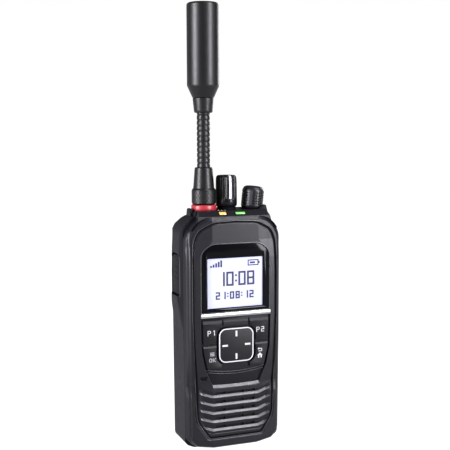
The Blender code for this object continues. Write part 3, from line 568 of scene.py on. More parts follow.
def front_shell():
    slot_edges = [line + rise for line in GRILLE_LINES for rise in (SLOT_LOW, SLOT_TOP)]
    lips = [line - 0.5 for line in GRILLE_LINES]
    rows = rows_between(
        [(0, 0.12), (1.3, 0.3), (5.6, 0.2), (7.2, 0.24), (36.6, 0.4), (112, 0.22), (129.2, 0.2),
         (DECK, 0.2)],
        slot_edges + lips + [SHOULDER],
    )
    columns = rows_between(
        [(0, 0.45), (11.7, 0.24), (25.6, 0.3), (27.5, 0.12), (SIDE, 0.12)],
        [GRILLE_RIB - 0.4, GRILLE_RIB + 0.4, GRILLE_HALF],
    ) / SIDE
    columns = np.concatenate([-columns[:0:-1], columns])
    right, left = half_width(rows, 1, FACE_BODY), half_width(rows, -1, FACE_BODY)
    u, z = np.meshgrid(columns, rows)
    x = np.where(u > 0, u * right[:, None], u * left[:, None])
    depth = front_depth(x, z)
    bm = bmesh.new()
    grid = [
        [bm.verts.new((x[i, j], FACE + depth[i, j], z[i, j])) for j in range(len(columns))]
        for i in range(len(rows))
    ]
    for i in range(len(rows) - 1):
        height = (rows[i] + rows[i + 1]) / 2
        for j in range(len(columns) - 1):
            middle = (columns[j] + columns[j + 1]) / 2 * SIDE
            if not is_slot(middle, height) and not behind_pad(middle, height):
                bm.faces.new((grid[i][j], grid[i][j + 1], grid[i + 1][j + 1], grid[i + 1][j]))
    for loose in [v for v in bm.verts if not v.link_faces]:
        bm.verts.remove(loose)
    close_shell(bm)
    shell = finish_piece(add("front_shell", bm), "handset", CHARCOAL, ["front_case"], 30)
    shell.data.materials.append(PAINTED_HIGHLIGHT)
    # The up-facing facets of the grille louvres take the painted highlight material.
    for polygon in shell.data.polygons:
        x, y, z = (value / MM for value in polygon.center)
        highlight_facet = polygon.normal.z > 0.3 and -0.95 < polygon.normal.y < -0.4
        if highlight_facet and abs(x) < 23.5 and 4.0 < z < 34.0 and y < FACE + 3.0:
            polygon.material_index = 1
    return shell


def close_shell(bm):
    """Gives the open front surface its walls, its slots' sides and a flat inner face."""
    inner = FACE + 2.4
    outer = []
    slots = []
    for e in [e for e in bm.edges if e.is_boundary]:
        place = (e.verts[0].co + e.verts[1].co) / 2
        in_slot = abs(place.x) < GRILLE_HALF + 0.6 and 9.0 < place.z < PAD.top + 2.0
        (slots if in_slot else outer).append(e)

    def pushed(edges, move):
        grown = bmesh.ops.extrude_edge_only(bm, edges=edges)["geom"]
        for v in of_kind(grown, bmesh.types.BMVert):
            v.co = move(v.co)
        return [e for e in of_kind(grown, bmesh.types.BMEdge) if e.is_boundary]

    def widened(place, start, stop):
        side = 1 if place.x > 0 else -1
        reach = float(half_width(np.array([place.z]), side, BODY)[0])
        near = float(half_width(np.array([place.z]), side, FACE_BODY)[0])
        begun = near + (reach - near) * math.sin(start * math.pi / 2)
        ended = near + (reach - near) * math.sin(stop * math.pi / 2)
        y = place.y + (SEAM - place.y) * (stop - start) / (1 - start)
        return Vector((place.x * ended / begun, y, place.z))

    def shrunk(place):
        return Vector((place.x * (1 - WALL / SIDE), place.y,
                       MIDDLE_Z + (place.z - MIDDLE_Z) * (1 - WALL / MIDDLE_Z)))

    slot_ends = pushed(slots, lambda c: Vector((c.x, inner, c.z)))
    rim = outer
    for start, stop in ((0, 0.08), (0.08, 0.25), (0.25, 0.5), (0.5, 1.0)):
        rim = pushed(rim, lambda c: widened(c, start, stop))
    rim = pushed(rim, shrunk)
    rim = pushed(rim, lambda c: Vector((c.x, inner, c.z)))
    bmesh.ops.triangle_fill(bm, use_beauty=False, use_dissolve=False, edges=rim + slot_ends)


def groove_line():
    """A dark strip in the groove round the front panel, painted as its shade, and a lip outside it
    painted pale as a highlight.
    """
    outline = rounded(PANEL, 14)
    line = prism("panel_groove", [moved_in(outline, -0.3), moved_in(outline, 0.3)], FACE + 0.55,
                 FACE + 1.5)
    drape(line)
    finish_piece(line, "handset", SHADOW)
    # The lip outside the groove takes the painted highlight material.
    lip = prism("panel_lip", [moved_in(outline, -0.75), moved_in(outline, -0.35)], FACE - 0.1,
                FACE + 0.8, edge=0.15)
    drape(lip)
    return finish_piece(lip, "handset", PAINTED_HIGHLIGHT)


def seam_line():
    """A dark filler in the seam between the two halves of the case, painted shade where the gap would
    otherwise show light through.
    """
    outline = rounded(BODY, 14)
    seal = prism("seam_shade_filler", [moved_in(outline, 0.3), moved_in(outline, 1.6)], SEAM - 0.02,
                 SEAM + SEAM_GAP + 0.02)
    return finish_piece(seal, "handset", SHADOW)


def drape(piece):
    """Moves a thin piece back to follow the fall of the front towards its sides."""
    for vertex in piece.data.vertices:
        vertex.co.y += side_fall(vertex.co.x / MM, vertex.co.z / MM) * MM


# ---- rear shell and battery

PLAN = [
    (-SIDE, SEAM + SEAM_GAP, 0.0), (-SIDE - BULGE, -5.0, 4.0), (-SIDE - BULGE, 5.5, 3.0),
    (-SIDE, 8.9, 4.0), (-23.3, BACK, 4.0), (23.3, BACK, 4.0), (SIDE, 8.9, 6.0),
    (SIDE, SEAM + SEAM_GAP, 0.0),
]


def wrapped(name, low, top, front, top_round=0.0, low_round=0.0):
    """A solid with the phone's rear outline, its plan corners rounded, between two heights."""
    silhouette = rounded(REAR_BODY, 24)
    right = sorted((p.y, p.x) for p in silhouette if p.x > 0)
    left = sorted((p.y, -p.x) for p in silhouette if p.x < 0)
    plan = rounded(PLAN, 12)
    dense = []
    for one, two in zip(plan, plan[1:]):
        count = max(1, round((two - one).length / 2.5))
        dense += [one.lerp(two, i / count) for i in range(count)]
    dense.append(plan[-1])
    count = max(2, round((top - low) / 1.2))
    heights = {low + (top - low) * i / count for i in range(count + 1)}
    heights |= {h for h, _ in right + left if low < h < top}
    heights |= {top - top_round * (1 - math.sin(a * math.pi / 16)) for a in range(9) if top_round}
    heights |= {low + low_round * (1 - math.sin(a * math.pi / 16)) for a in range(9) if low_round}
    heights = sorted(heights)
    thinned = [h for i, h in enumerate(heights) if i in (0, len(heights) - 1)
               or h - heights[i - 1] > 0.02]
    bm = bmesh.new()
    rows = []
    for z in thinned:
        wide_r = np.interp(z, *zip(*right))
        wide_l = np.interp(z, *zip(*left))
        pull = 0.0
        if top_round and z > top - top_round:
            pull = top_round - math.sqrt(max(top_round ** 2 - (z - top + top_round) ** 2, 0))
        if low_round and z < low + low_round:
            pull = low_round - math.sqrt(max(low_round ** 2 - (low + low_round - z) ** 2, 0))
        row = []
        for p in dense:
            sloped = BACK_SLOPE + (SHOULDER + 0.5 - z) / BACK_FALL
            y = max(min(p.y, BACK - pull, sloped), front)
            fallen = z + BACK_FALL * max(y - BACK_SLOPE, 0.0)
            narrow_r = min(wide_r, np.interp(fallen, *zip(*right)))
            narrow_l = min(wide_l, np.interp(fallen, *zip(*left)))
            x = min(max(p.x, -narrow_l), narrow_r)
            row.append(bm.verts.new((x, y, z)))
        rows.append(row)
    bridge(bm, rows, closed=True)
    bm.faces.new(rows[0][::-1])
    bm.faces.new(rows[-1])
    bmesh.ops.remove_doubles(bm, verts=bm.verts, dist=0.004)
    bmesh.ops.dissolve_degenerate(bm, edges=bm.edges[:], dist=0.003)
    bmesh.ops.recalc_face_normals(bm, faces=bm.faces)
    return add(name, bm)


def column(x, low, top, r):
    """An upright round cutter."""
    return lathe("column", [(r, top), (r, low)], (x, 0, 0), 40)


def leaning_column(low, top, r):
    """A round cutter along the volume knob's axis."""
    return lathe("column", [(r, top), (r, low)], VOLUME_FOOT, 40, VOLUME_LEAN)


def rear_shell():
    shell = wrapped("rear_shell", 0.0, SHOULDER, SEAM + SEAM_GAP, top_round=4.0, low_round=1.2)
    deck = prism("deck", [rounded([(-22.4, 127.0, 0), (24.4, 127.0, 0), (21.4, DECK, 0.8),
                                   (-20.9, DECK, 0.8)], 5)], SEAM + SEAM_GAP, 12.0, edge=1.5,
                 segments=4, ends="high")
    for vertex in deck.data.vertices:
        if vertex.co.x < 0:
            vertex.co.x += 0.3 * max(vertex.co.y - 2.0 * MM, 0.0)
    boolean(shell, deck, "UNION")
    rim = [(-3.7, 129.0, 0), (4.5, 129.0, 0), (2.4, 135.4, 2.0), (-3.7, 135.4, 1.0)]
    ear = [(16.5, 129.0, 0), (24.1, 129.0, 0), (22.2, 136.5, 0.7), (20.8, 136.7, 0.7),
           (16.5, 133.5, 2.0)]
    boolean(shell, prism("rim", [rounded(rim, 5)], -22.3, -21.0, "X", edge=0.4, ends="both"),
            "UNION")
    boolean(shell, prism("ear", [rounded(ear, 5)], -8.0, 7.5, edge=0.6, ends="both"), "UNION")
    boolean(shell, column(ANTENNA_X, 133.0, 140, 8.4))
    boolean(shell, leaning_column(-1.2, 20, VOLUME_R + 0.8))
    boolean(shell, prism("bay", [rectangle(-40, -5, 40, PACK.top + 0.3)], 3.4, 30))
    inner = moved_in(rounded(BODY, 6), WALL)
    boolean(shell, prism("hollow", [inner], -20, 1.4))
    upper = tile(-25.5, PACK.top + 2.3, 25.5, 128.8, 6.0, 6)
    boolean(shell, prism("upper_hollow", [upper], 0.0, 9.5))
    boolean(shell, column(ANTENNA_X, 120, 140, 4.8))
    boolean(shell, column(ROTARY.x, 120, 140, 4.3))
    boolean(shell, leaning_column(-14, 5, 4.3))
    boolean(shell, prism("pocket", [POCKET], -40, -27.8, "X"))
    boolean(shell, prism("stem_hole", [rectangle(-2.6, 99.4, 2.6, 104.6)], -30, -20, "X"))
    recess = rounded([(-6.8, JACK.low + 1.3, 1.5), (9.5, JACK.low + 1.3, 0.5),
                      (9.5, JACK.top - 1.3, 0.5), (-6.8, JACK.top - 1.3, 1.5)], 5)
    boolean(shell, prism("recess", [recess], 28.0, 40, "X"))
    boolean(shell, prism("window", [rectangle(-4.2, 104.4, 4.2, 116.0)], 20, 30, "X"))
    for z in (JACK.low, JACK.top):
        boolean(shell, lathe("pin_hole", [(0.8, z + 1.5), (0.8, z - 1.5)], (29.5, 8.0, 0), 12))
    boolean(shell, prism("terminals", [rectangle(-6.3, 22.7, 6.3, 28.3)], -5, 10))
    finish_piece(shell, "handset", SIDE_PLASTIC, ["rear_case"], 32)
    satin_back(shell)


def satin_back(shell):
    """Gives the faces that look backwards the front's smoother finish."""
    shell.data.materials.append(CHARCOAL)
    for polygon in shell.data.polygons:
        if polygon.normal.y > 0.3:
            polygon.material_index = 1


def battery_shell():
    shell = wrapped("battery_shell", PACK.low, PACK.top, 3.44, low_round=1.2)
    hollow = tile(-24.5, 5.0, 24.5, PACK.top - 2.0, 2.0, 4)
    boolean(shell, prism("hollow", [hollow], 0, BACK - 1.8))
    pocket = tile(-9, 5.5, 9, 15.0, 1.2, 4)
    boolean(shell, prism("pocket", [pocket], BACK - 1.3, 30))
    label = tile(-17.5, 21.0, 17.5, 49.0, 2.0, 5)
    boolean(shell, prism("label", [label], BACK - 0.35, 30))
    for side in (-1, 1):
        for step in range(6):
            z = 34.0 + step * 3.2
            groove = tile(9.8, z, 15.6, z + 1.3, 0.6, 3)
            x = sorted((side * 20.0, side * 40.0))
            cutter = prism("grip", [groove], *x, "X")
            for vertex in cutter.data.vertices:
                vertex.co.x += side * 4.2 * MM - side * (vertex.co.y / MM - 9.8) * 0.7 * MM
            boolean(shell, cutter)
    finish_piece(shell, "battery_pack", SIDE_PLASTIC, ["battery_case"], 32)
    satin_back(shell)


# ---- display and keypad

def display():
    ring = rounded(SCREEN, 12)
    opening = tile(-LCD_HALF, LCD_LOW, LCD_HALF, LCD_TOP, 0.5, 4)
    # The rim round the window takes the painted highlight material.
    rim = prism("window_rim", [moved_in(ring, -0.55), moved_in(ring, 0.05)], FACE - 0.05,
                FACE + 1.4, edge=0.22)
    finish_piece(rim, "handset", PAINTED_HIGHLIGHT)
    glass = prism("window_glass", [moved_in(ring, 0.15), opening], FACE + 0.35, FACE + 1.3,
                  edge=0.25)
    finish_piece(glass, "handset", GLOSS, ["display_window"])
    panel = prism("lcd_panel", [tile(-17.2, 79.6, 17.2, 108.8, 0.5, 4)],
                  FACE + 1.15, FACE + 3.4, edge=0.1)
    finish_piece(panel, "handset", SCREEN_LIT, ["lcd_module"])
    screen_marks()
    half = 20.95
    section = [(FACE - 0.55, 75.3), (FACE - 0.75, 76.4), (FACE - 0.35, 77.55), (FACE + 0.9, 77.7),
               (FACE + 0.9, 75.2), (FACE - 0.3, 75.2)]
    bar = prism("silver_bar", [section[::-1]], -half, half, "X", edge=0.18,
                segments=2, ends="both")
    finish_piece(bar, "handset", SILVER, ["trim_bar"], 20)


def bars(count, foot, pitch, left, right, tall, radius, arc, low, high, axis="Y", edge=0.2,
         ends="high"):
    """Rounded bars, one above the other."""
    heights = [foot + step * pitch for step in range(count)]
    return [prism("bar", [tile(left, z, right, z + tall, radius, arc)], low, high, axis,
                  edge=edge, ends=ends) for z in heights]


def flat_mark(name, outlines, y, thick=0.12):
    return prism(name, outlines, y, y + thick)


def screen_marks():
    """A plain idle screen: signal bars, a battery mark and two rows of clock figures."""
    y = FACE + 1.07
    shapes = []
    for step in range(5):
        x = -14.8 + step * 1.5
        shapes.append(flat_mark("bar", [rectangle(x, 103.2, x + 1.0, 104.2 + step * 0.7)], y))
    shapes.append(flat_mark("battery", [rectangle(7.6, 103.2, 14.2, 106.6),
                                        rectangle(8.2, 103.8, 13.6, 106.0)], y))
    shapes.append(flat_mark("battery_tip", [rectangle(14.2, 104.2, 14.9, 105.6)], y - 0.002))
    shapes.append(flat_mark("charge", [rectangle(8.9, 104.4, 12.0, 105.4)], y))
    shapes += digits("10:08", -10.6, 92.4, 4.4, 8.0, 1.05, y)
    shapes += digits("21:08:12", -11.6, 85.0, 2.5, 4.2, 0.75, y)
    marks = joined("screen_marks", shapes)
    finish_piece(marks, "handset", SCREEN_INK)


SEGMENTS = {
    # which of a digit's seven strokes are drawn: top, two upper, middle, two lower, bottom
    "0": "TUVWXB", "1": "VX", "2": "TVMWB", "8": "TUVMWXB",
}


def digits(text, x, z, wide, tall, stroke, y):
    """Plain seven-stroke figures, and a colon of two dots."""
    shapes = []
    middle = tall / 2
    for letter in text:
        if letter == ":":
            for height in (0.28, 0.66):
                low = z + tall * height
                shapes.append(flat_mark("dot", [rectangle(x, low, x + stroke, low + stroke)], y))
            x += stroke + 0.9
            continue
        strokes = {
            "T": (0, tall - stroke, wide, tall),
            "U": (0, middle, stroke, tall),
            "V": (wide - stroke, middle, wide, tall),
            "M": (0, middle - stroke / 2, wide, middle + stroke / 2),
            "W": (0, 0, stroke, middle),
            "X": (wide - stroke, 0, wide, middle),
            "B": (0, 0, wide, stroke),
        }
        for key in SEGMENTS[letter]:
            left, low, right, top = strokes[key]
            shapes.append(flat_mark("stroke", [rectangle(x + left, z + low, x + right, z + top)],
                                    y - 0.001 * len(shapes)))
        x += wide + 0.9
    return shapes


def keypad():
    border = rounded(SHIELD, 12)
    rim = prism("shield_rim", [moved_in(border, -0.3), moved_in(border, 0.25)], FACE,
                FACE + 1.5, edge=0.2)
    drape(rim)
    finish_piece(rim, "handset", CHARCOAL)
    dish = prism("keypad_dish", [moved_in(border, 0.2)], FACE + 1.0, FACE + 1.9, edge=0.1)
    boolean(dish, prism("pad_hole", [moved_in(rounded(CROSS, 12), -0.35)], -30, 0))
    for node in ("key_menu", "key_back"):
        key = Span(node)
        hole = rectangle(key.left - 0.15, key.low - 0.15, key.right + 0.15, key.top + 0.15)
        boolean(dish, prism("key_hole", [hole], -30, 0))
    finish_piece(dish, "handset", FRAME_BLACK, ["keypad_frame", "badge_plate"])
    ledge_bar()
    for node in ("key_p1", "key_p2", "key_menu", "key_back"):
        body = node.replace("key_", "") + "_button"
        key = refined(node, node + "_cap", 0.25, 2, chosen=lambda c: c.y < FACE + 0.1)
        finish_piece(key, body, KEYTOP, [node], 35)
        top = Span(node).top
        slope_top(key, top, 1.6 if top > 65 else 1.1)
    bridge = prism("key_bridge", [rectangle(-7.4, 70.4, 7.6, 73.7)], FACE + 0.1, FACE + 1.2)
    finish_piece(bridge, "handset", KEYTOP)
    slope_top(bridge, 73.7, 1.6)
    swoosh()
    cap = prism("direction_pad", [rounded(CROSS, 12)], PAD.front + 0.2, PAD.back, edge=0.5,
                segments=3)
    crown(cap, PAD.front + 0.3)
    finish_piece(cap, "pad_cap", KEYTOP, ["dpad_cap"])
    band = rounded(CROSS, 12)
    ring = prism("pad_ring", [moved_in(band, 0.1), moved_in(band, 0.78)], PAD.front + 0.05,
                 PAD.front + 0.9, edge=0.12)
    finish_piece(ring, "pad_cap", LEGEND)
    ticks = []
    for dx, dz, wide, tall in ((0, 6.5, 1.1, 3.3), (0, -6.5, 1.1, 3.3), (6.8, 0, 3.3, 1.1),
                               (-6.8, 0, 3.3, 1.1)):
        tick = tile(dx - wide / 2, PAD.z + dz - tall / 2, dx + wide / 2,
                    PAD.z + dz + tall / 2, 0.15, 3)
        ticks.append(flat_mark("tick", [tick], PAD.front + 0.12, 0.4))
    finish_piece(joined("pad_ticks", ticks), "pad_cap", LEGEND)
    key_legends()


def crown(piece, y):
    """Sinks the middle of a pad's front a little."""
    for vertex in piece.data.vertices:
        if vertex.co.y / MM < y:
            reach = math.hypot(vertex.co.x / MM, vertex.co.z / MM - PAD.z)
            vertex.co.y += 0.1 * MM * max(0.0, 1 - reach / 10)


def slope_top(key, top, tall):
    """Cuts a sloping facet along the top of a key, painted paler as a highlight."""
    face = min(v.co.y for v in key.data.vertices) / MM
    low = top - tall
    wedge = prism("wedge", [((face - 1.0, low - 1.0 * tall / 0.9), (face + 0.9, top),
                             (face + 0.9, top + 2), (face - 1.0, top + 2))], -30, 30, "X")
    boolean(key, wedge)
    key.data.materials.append(KEY_HIGHLIGHT)
    aim = Vector((0, -tall, 0.9)).normalized()
    for polygon in key.data.polygons:
        if polygon.normal.dot(aim) > 0.995:
            polygon.material_index = 1


def curved_strip(name, reach, z_side, z_middle, tall, y, thick, edge=0.1):
    """A strip that sags between its two ends, like a shallow smile."""
    count = 24
    lower, upper = [], []
    for i in range(count + 1):
        x = -reach + 2 * reach * i / count
        z = z_middle + (z_side - z_middle) * (x / reach) ** 2
        lower.append(Vector((x, z)))
        upper.append(Vector((x, z + tall)))
    return prism(name, [lower + upper[::-1]], y, y + thick, edge=edge)


def swoosh():
    """The two fine curved lines under the keys, painted pale as highlights."""
    lines = [curved_strip("line", 17.2, 45.3, 43.4, 0.35, FACE + 0.7, 0.5),
             curved_strip("line", 16.6, 43.9, 42.1, 0.3, FACE + 0.75, 0.5)]
    finish_piece(joined("keypad_lines", lines), "handset", PAINTED_HIGHLIGHT)


def ledge_bar():
    """The ledge at the foot of the shield, with its sloping upper face, painted pale as a highlight."""
    bm = bmesh.new()
    count = 28
    low, top = 34.35, 36.45
    rows = []
    for i in range(count + 1):
        x = -14.0 + 28.4 * i / count
        lift = 0.5 * (abs(x) / 14.0) ** 3
        ring = [(FACE - 0.1, low), (FACE - 0.3, low + 0.5), (FACE + 1.2, top),
                (FACE + 1.6, top), (FACE + 1.6, low)]
        rows.append([bm.verts.new((x, y, z + lift)) for y, z in ring])
    bridge(bm, rows, closed=True)
    bm.faces.new(rows[0])
    bm.faces.new(rows[-1][::-1])
    finish_piece(add("shield_ledge", bm), "handset", PAINTED_HIGHLIGHT, (), 30)


def key_legends():
    """Plain figures and pictograms printed on the four keys."""
    y = FACE - 0.42
    one = letter_one(-LEGEND_X + 0.9, LEGEND_LOW, y)
    two = digits("2", LEGEND_X + 0.5, LEGEND_LOW, 1.9, 3.0, 0.42, y)
    for body, x, figure in (("p1_button", -LEGEND_X, one), ("p2_button", LEGEND_X, two)):
        marks = letter_p(x - 2.4, LEGEND_LOW, y) + figure
        finish_piece(joined(body + "_legend", marks), body, LEGEND)
    menu = []
    for row in range(3):
        menu.append(flat_mark("line", [rectangle(-15.7, 53.6 + row * 0.8, -13.1,
                                                 54.05 + row * 0.8)], y))
    menu += [flat_mark("o", [tile(-16.2, 50.1, -14.5, 52.3, 0.6, 4),
                             tile(-15.8, 50.5, -14.9, 51.9, 0.3, 4)], y)]
    stem = rectangle(-14.1, 50.1, -13.65, 52.3)
    arm = [(-13.65, 51.0), (-12.6, 52.3), (-12.1, 52.3), (-13.1, 51.2), (-12.1, 50.1),
           (-12.6, 50.1)]
    menu += [flat_mark("k", [stem], y), flat_mark("k_arm", [arm[::-1]],
                                                  y - 0.002)]
    finish_piece(joined("menu_button_legend", menu), "menu_button", DIM_LEGEND)
    back = [
        flat_mark("arrow", [((13.0, 55.4), (14.0, 54.6), (14.0, 56.2))], y),
        flat_mark("top", [rectangle(13.9, 55.2, 15.6, 55.6)], y),
        flat_mark("side", [rectangle(15.4, 54.0, 15.8, 55.6)], y - 0.001),
        flat_mark("foot", [rectangle(13.6, 53.8, 15.7, 54.2)], y - 0.002),
        flat_mark("roof", [((12.8, 51.5), (16.2, 51.5), (14.5, 53.1))], y),
        flat_mark("wall", [rectangle(13.3, 50.1, 14.15, 51.6)], y - 0.001),
        flat_mark("wall", [rectangle(14.85, 50.1, 15.7, 51.6)], y - 0.001),
    ]
    finish_piece(joined("back_button_legend", back), "back_button", LEGEND)


def letter_p(x, z, y):
    return [
        flat_mark("stem", [rectangle(x, z, x + 0.42, z + 3.0)], y),
        flat_mark("bowl", [tile(x, z + 1.2, x + 2.0, z + 3.0, 0.85, 5),
                           tile(x + 0.4, z + 1.6, x + 1.6, z + 2.6, 0.4, 4)],
                  y - 0.002),
    ]


def letter_one(x, z, y):
    return [
        flat_mark("stem", [rectangle(x + 0.58, z, x + 1.0, z + 3.0)], y),
        flat_mark("flag", [((x, z + 2.2), (x + 0.6, z + 2.4),
                                                (x + 0.6, z + 3.0), (x + 0.4, z + 3.0))],
                  y - 0.002),
    ]


# ---- deck and controls

def slope_y(z):
    """The deck's sloping front at a height."""
    return FACE + DECK_STEP + DECK_SLOPE * max(z - SHOULDER - 0.1, 0)


def indicator(name, left, right, low, top, look, node):
    """A crowned lens on the deck's sloping front, in a dark rim painted as the shade of its recess."""
    bm = bmesh.new()
    wide, tall = 20, 8
    rows = []
    for j in range(tall + 1):
        v = j / tall
        z = low + (top - low) * v
        row = []
        for i in range(wide + 1):
            a = i / wide
            rise = 0.5 * (1 - (2 * a - 1) ** 4) * (1 - (2 * v - 1) ** 2)
            row.append(bm.verts.new((left + (right - left) * a, slope_y(z) - 0.1 - rise,
                                     z + 0.5 * rise)))
        rows.append(row)
    bridge(bm, rows, closed=False)
    grown = bmesh.ops.extrude_edge_only(bm, edges=[e for e in bm.edges if e.is_boundary])["geom"]
    for v in of_kind(grown, bmesh.types.BMVert):
        v.co += Vector((0, 1.2, -0.4))
    loop = [e for e in of_kind(grown, bmesh.types.BMEdge) if e.is_boundary]
    bmesh.ops.contextual_create(bm, geom=loop)
    finish_piece(add(name, bm), "handset", look, [node])
    # A dark rim round the lens, painted shade for the recess it sits in.
    shade_rim = prism(name + "_bezel",
                  [tile(left - 0.6, low - 0.45, right + 0.6, top + 0.35, 0.7, 4),
                   tile(left, low, right, top, 0.3, 4)], 0.0, 0.7, edge=0.15)
    for vertex in shade_rim.data.vertices:
        vertex.co.y += (slope_y(vertex.co.z / MM) - 0.25) * MM
    finish_piece(shade_rim, "handset", SHADOW)


def channel_dots():
    """Three small marks beside the rotary selector's foot."""
    dots = []
    for x, y in ((-6.9, -7.4), (-5.2, -8.1), (-3.3, -8.6)):
        dots.append(lathe("dot", [(0.05, DECK + 0.3), (0.38, DECK + 0.22), (0.45, DECK - 0.2)],
                          (x, y, 0), 14))
    finish_piece(joined("channel_dots", dots), "handset", LEGEND)


def rotary_selector():
    top, low, r = ROTARY.top, ROTARY.low, (ROTARY.right - ROTARY.left) / 2
    flutes = 26

    def fluted(reach, height, angle):
        if reach < r * 0.6:
            return reach
        share = min(max((height - low - 3.6) / 0.8, 0.0), 1.0)
        return reach - 0.3 * share * (0.5 - 0.5 * math.cos(flutes * angle)) ** 2

    profile = [(0.0, top - 0.35), (3.0, top - 0.3), (3.6, top - 0.05), (4.5, top), (5.0, top - 0.15),
               (5.5, top - 0.6), (5.75, top - 1.2), (r - 0.15, top - 3.0)]
    profile += [(r - 0.15 + 0.1 * i / 6, top - 3.0 - i * (top - 3.0 - low - 4.4) / 6)
                for i in range(1, 7)]
    profile += [(r - 0.05, low + 3.6), (r, low + 3.3), (r, low + 0.8), (r - 0.4, low), (3.3, low),
                (3.3, top - 6.6), (0.0, top - 6.6)]
    knob = lathe("rotary_grip", profile, (ROTARY.x, 0, 0), 208, radius=fluted)
    finish_piece(knob, "rotary", KNOB, ["rotary_knob"], 40)
    # The boss under the knob is coloured with the painted shade black, for the shaded gap beneath it.
    boss = [(0.0, low - 0.15), (5.0, low - 0.15), (5.4, low - 0.5), (5.4, DECK - 1.5),
            (0.0, DECK - 1.5)]
    finish_piece(lathe("rotary_boss", boss, (ROTARY.x, 0, 0), 48), "handset", SHADOW)
    turn = math.radians(2.0)
    half = math.radians(7.0)
    strip = [(2.2, top - 0.25), (3.6, top + 0.02), (4.6, top + 0.06), (5.2, top - 0.2),
             (5.8, top - 1.0), (r + 0.02, top - 3.0), (r + 0.1, low + 4.3), (r - 0.5, low + 4.2),
             (r - 0.6, top - 3.0), (4.6, top - 0.9), (2.2, top - 0.8)]
    pointer = lathe("rotary_pointer", strip, (ROTARY.x, 0, 0), 6, span=(turn - half, turn + half))
    finish_piece(pointer, "rotary", LEGEND, (), 50)
    recess = [(r + 0.06, top - 3.2), (r + 0.06, low + 3.7), (r - 0.4, low + 3.7), (r - 0.4, top - 3.2)]
    for side in (-1, 1):
        edge = turn + side * (half + math.radians(2.5))
        span = sorted((turn + side * half, edge))
        flank = lathe(f"pointer_flank_{side}", recess, (ROTARY.x, 0, 0), 3, span=span)
        finish_piece(flank, "rotary", KNOB)


def volume_control():
    r = VOLUME_R
    long = VOLUME_LONG
    around, pitch = 26, 1.5

    def knurled(reach, height, angle):
        if reach < r * 0.7 or not 2.6 < height < long - 2.8:
            return reach
        across = abs(math.sin(around * angle / 2)) < 0.28
        along = abs(math.sin(math.pi * height / pitch)) < 0.3
        return reach - (0.32 if across or along else 0.0)

    profile = [(0.0, long + 0.15), (2.5, long + 0.15), (3.9, long - 0.05), (4.9, long - 0.35),
               (5.5, long - 0.9), (5.95, long - 1.7), (r, long - 2.7)]
    steps = 40
    profile += [(r, long - 2.8 - (long - 5.4) * i / steps) for i in range(steps + 1)]
    profile += [(r, 2.4), (r, 1.6), (r - 0.35, 0.6), (r - 1.0, 0.0), (3.3, 0.0), (3.3, 9.0),
                (0.0, 9.0)]
    knob = lathe("volume_grip", profile, VOLUME_FOOT, 176, VOLUME_LEAN, knurled)
    finish_piece(knob, "volume", KNURL, ["volume_knob"], 40)
    # The boss under the knob is coloured with the painted shade black, for the shaded gap beneath it.
    boss = [(0.0, -0.15), (5.0, -0.15), (5.4, -0.5), (5.4, -2.0), (0.0, -2.0)]
    finish_piece(lathe("volume_boss", boss, VOLUME_FOOT, 48, VOLUME_LEAN), "handset", SHADOW)
    # A facet strip on the knob's side, painted pale as a highlight.
    facet = [(r + 0.05, long - 2.6), (r + 0.05, 2.2), (r - 0.6, 2.2), (r - 0.6, long - 2.6)]
    pad = lathe("volume_highlight_facet", facet, VOLUME_FOOT, 8, VOLUME_LEAN,
                span=(math.radians(-46), math.radians(-24)))
    finish_piece(pad, "volume", PAINTED_HIGHLIGHT, (), 40)


# ---- antenna

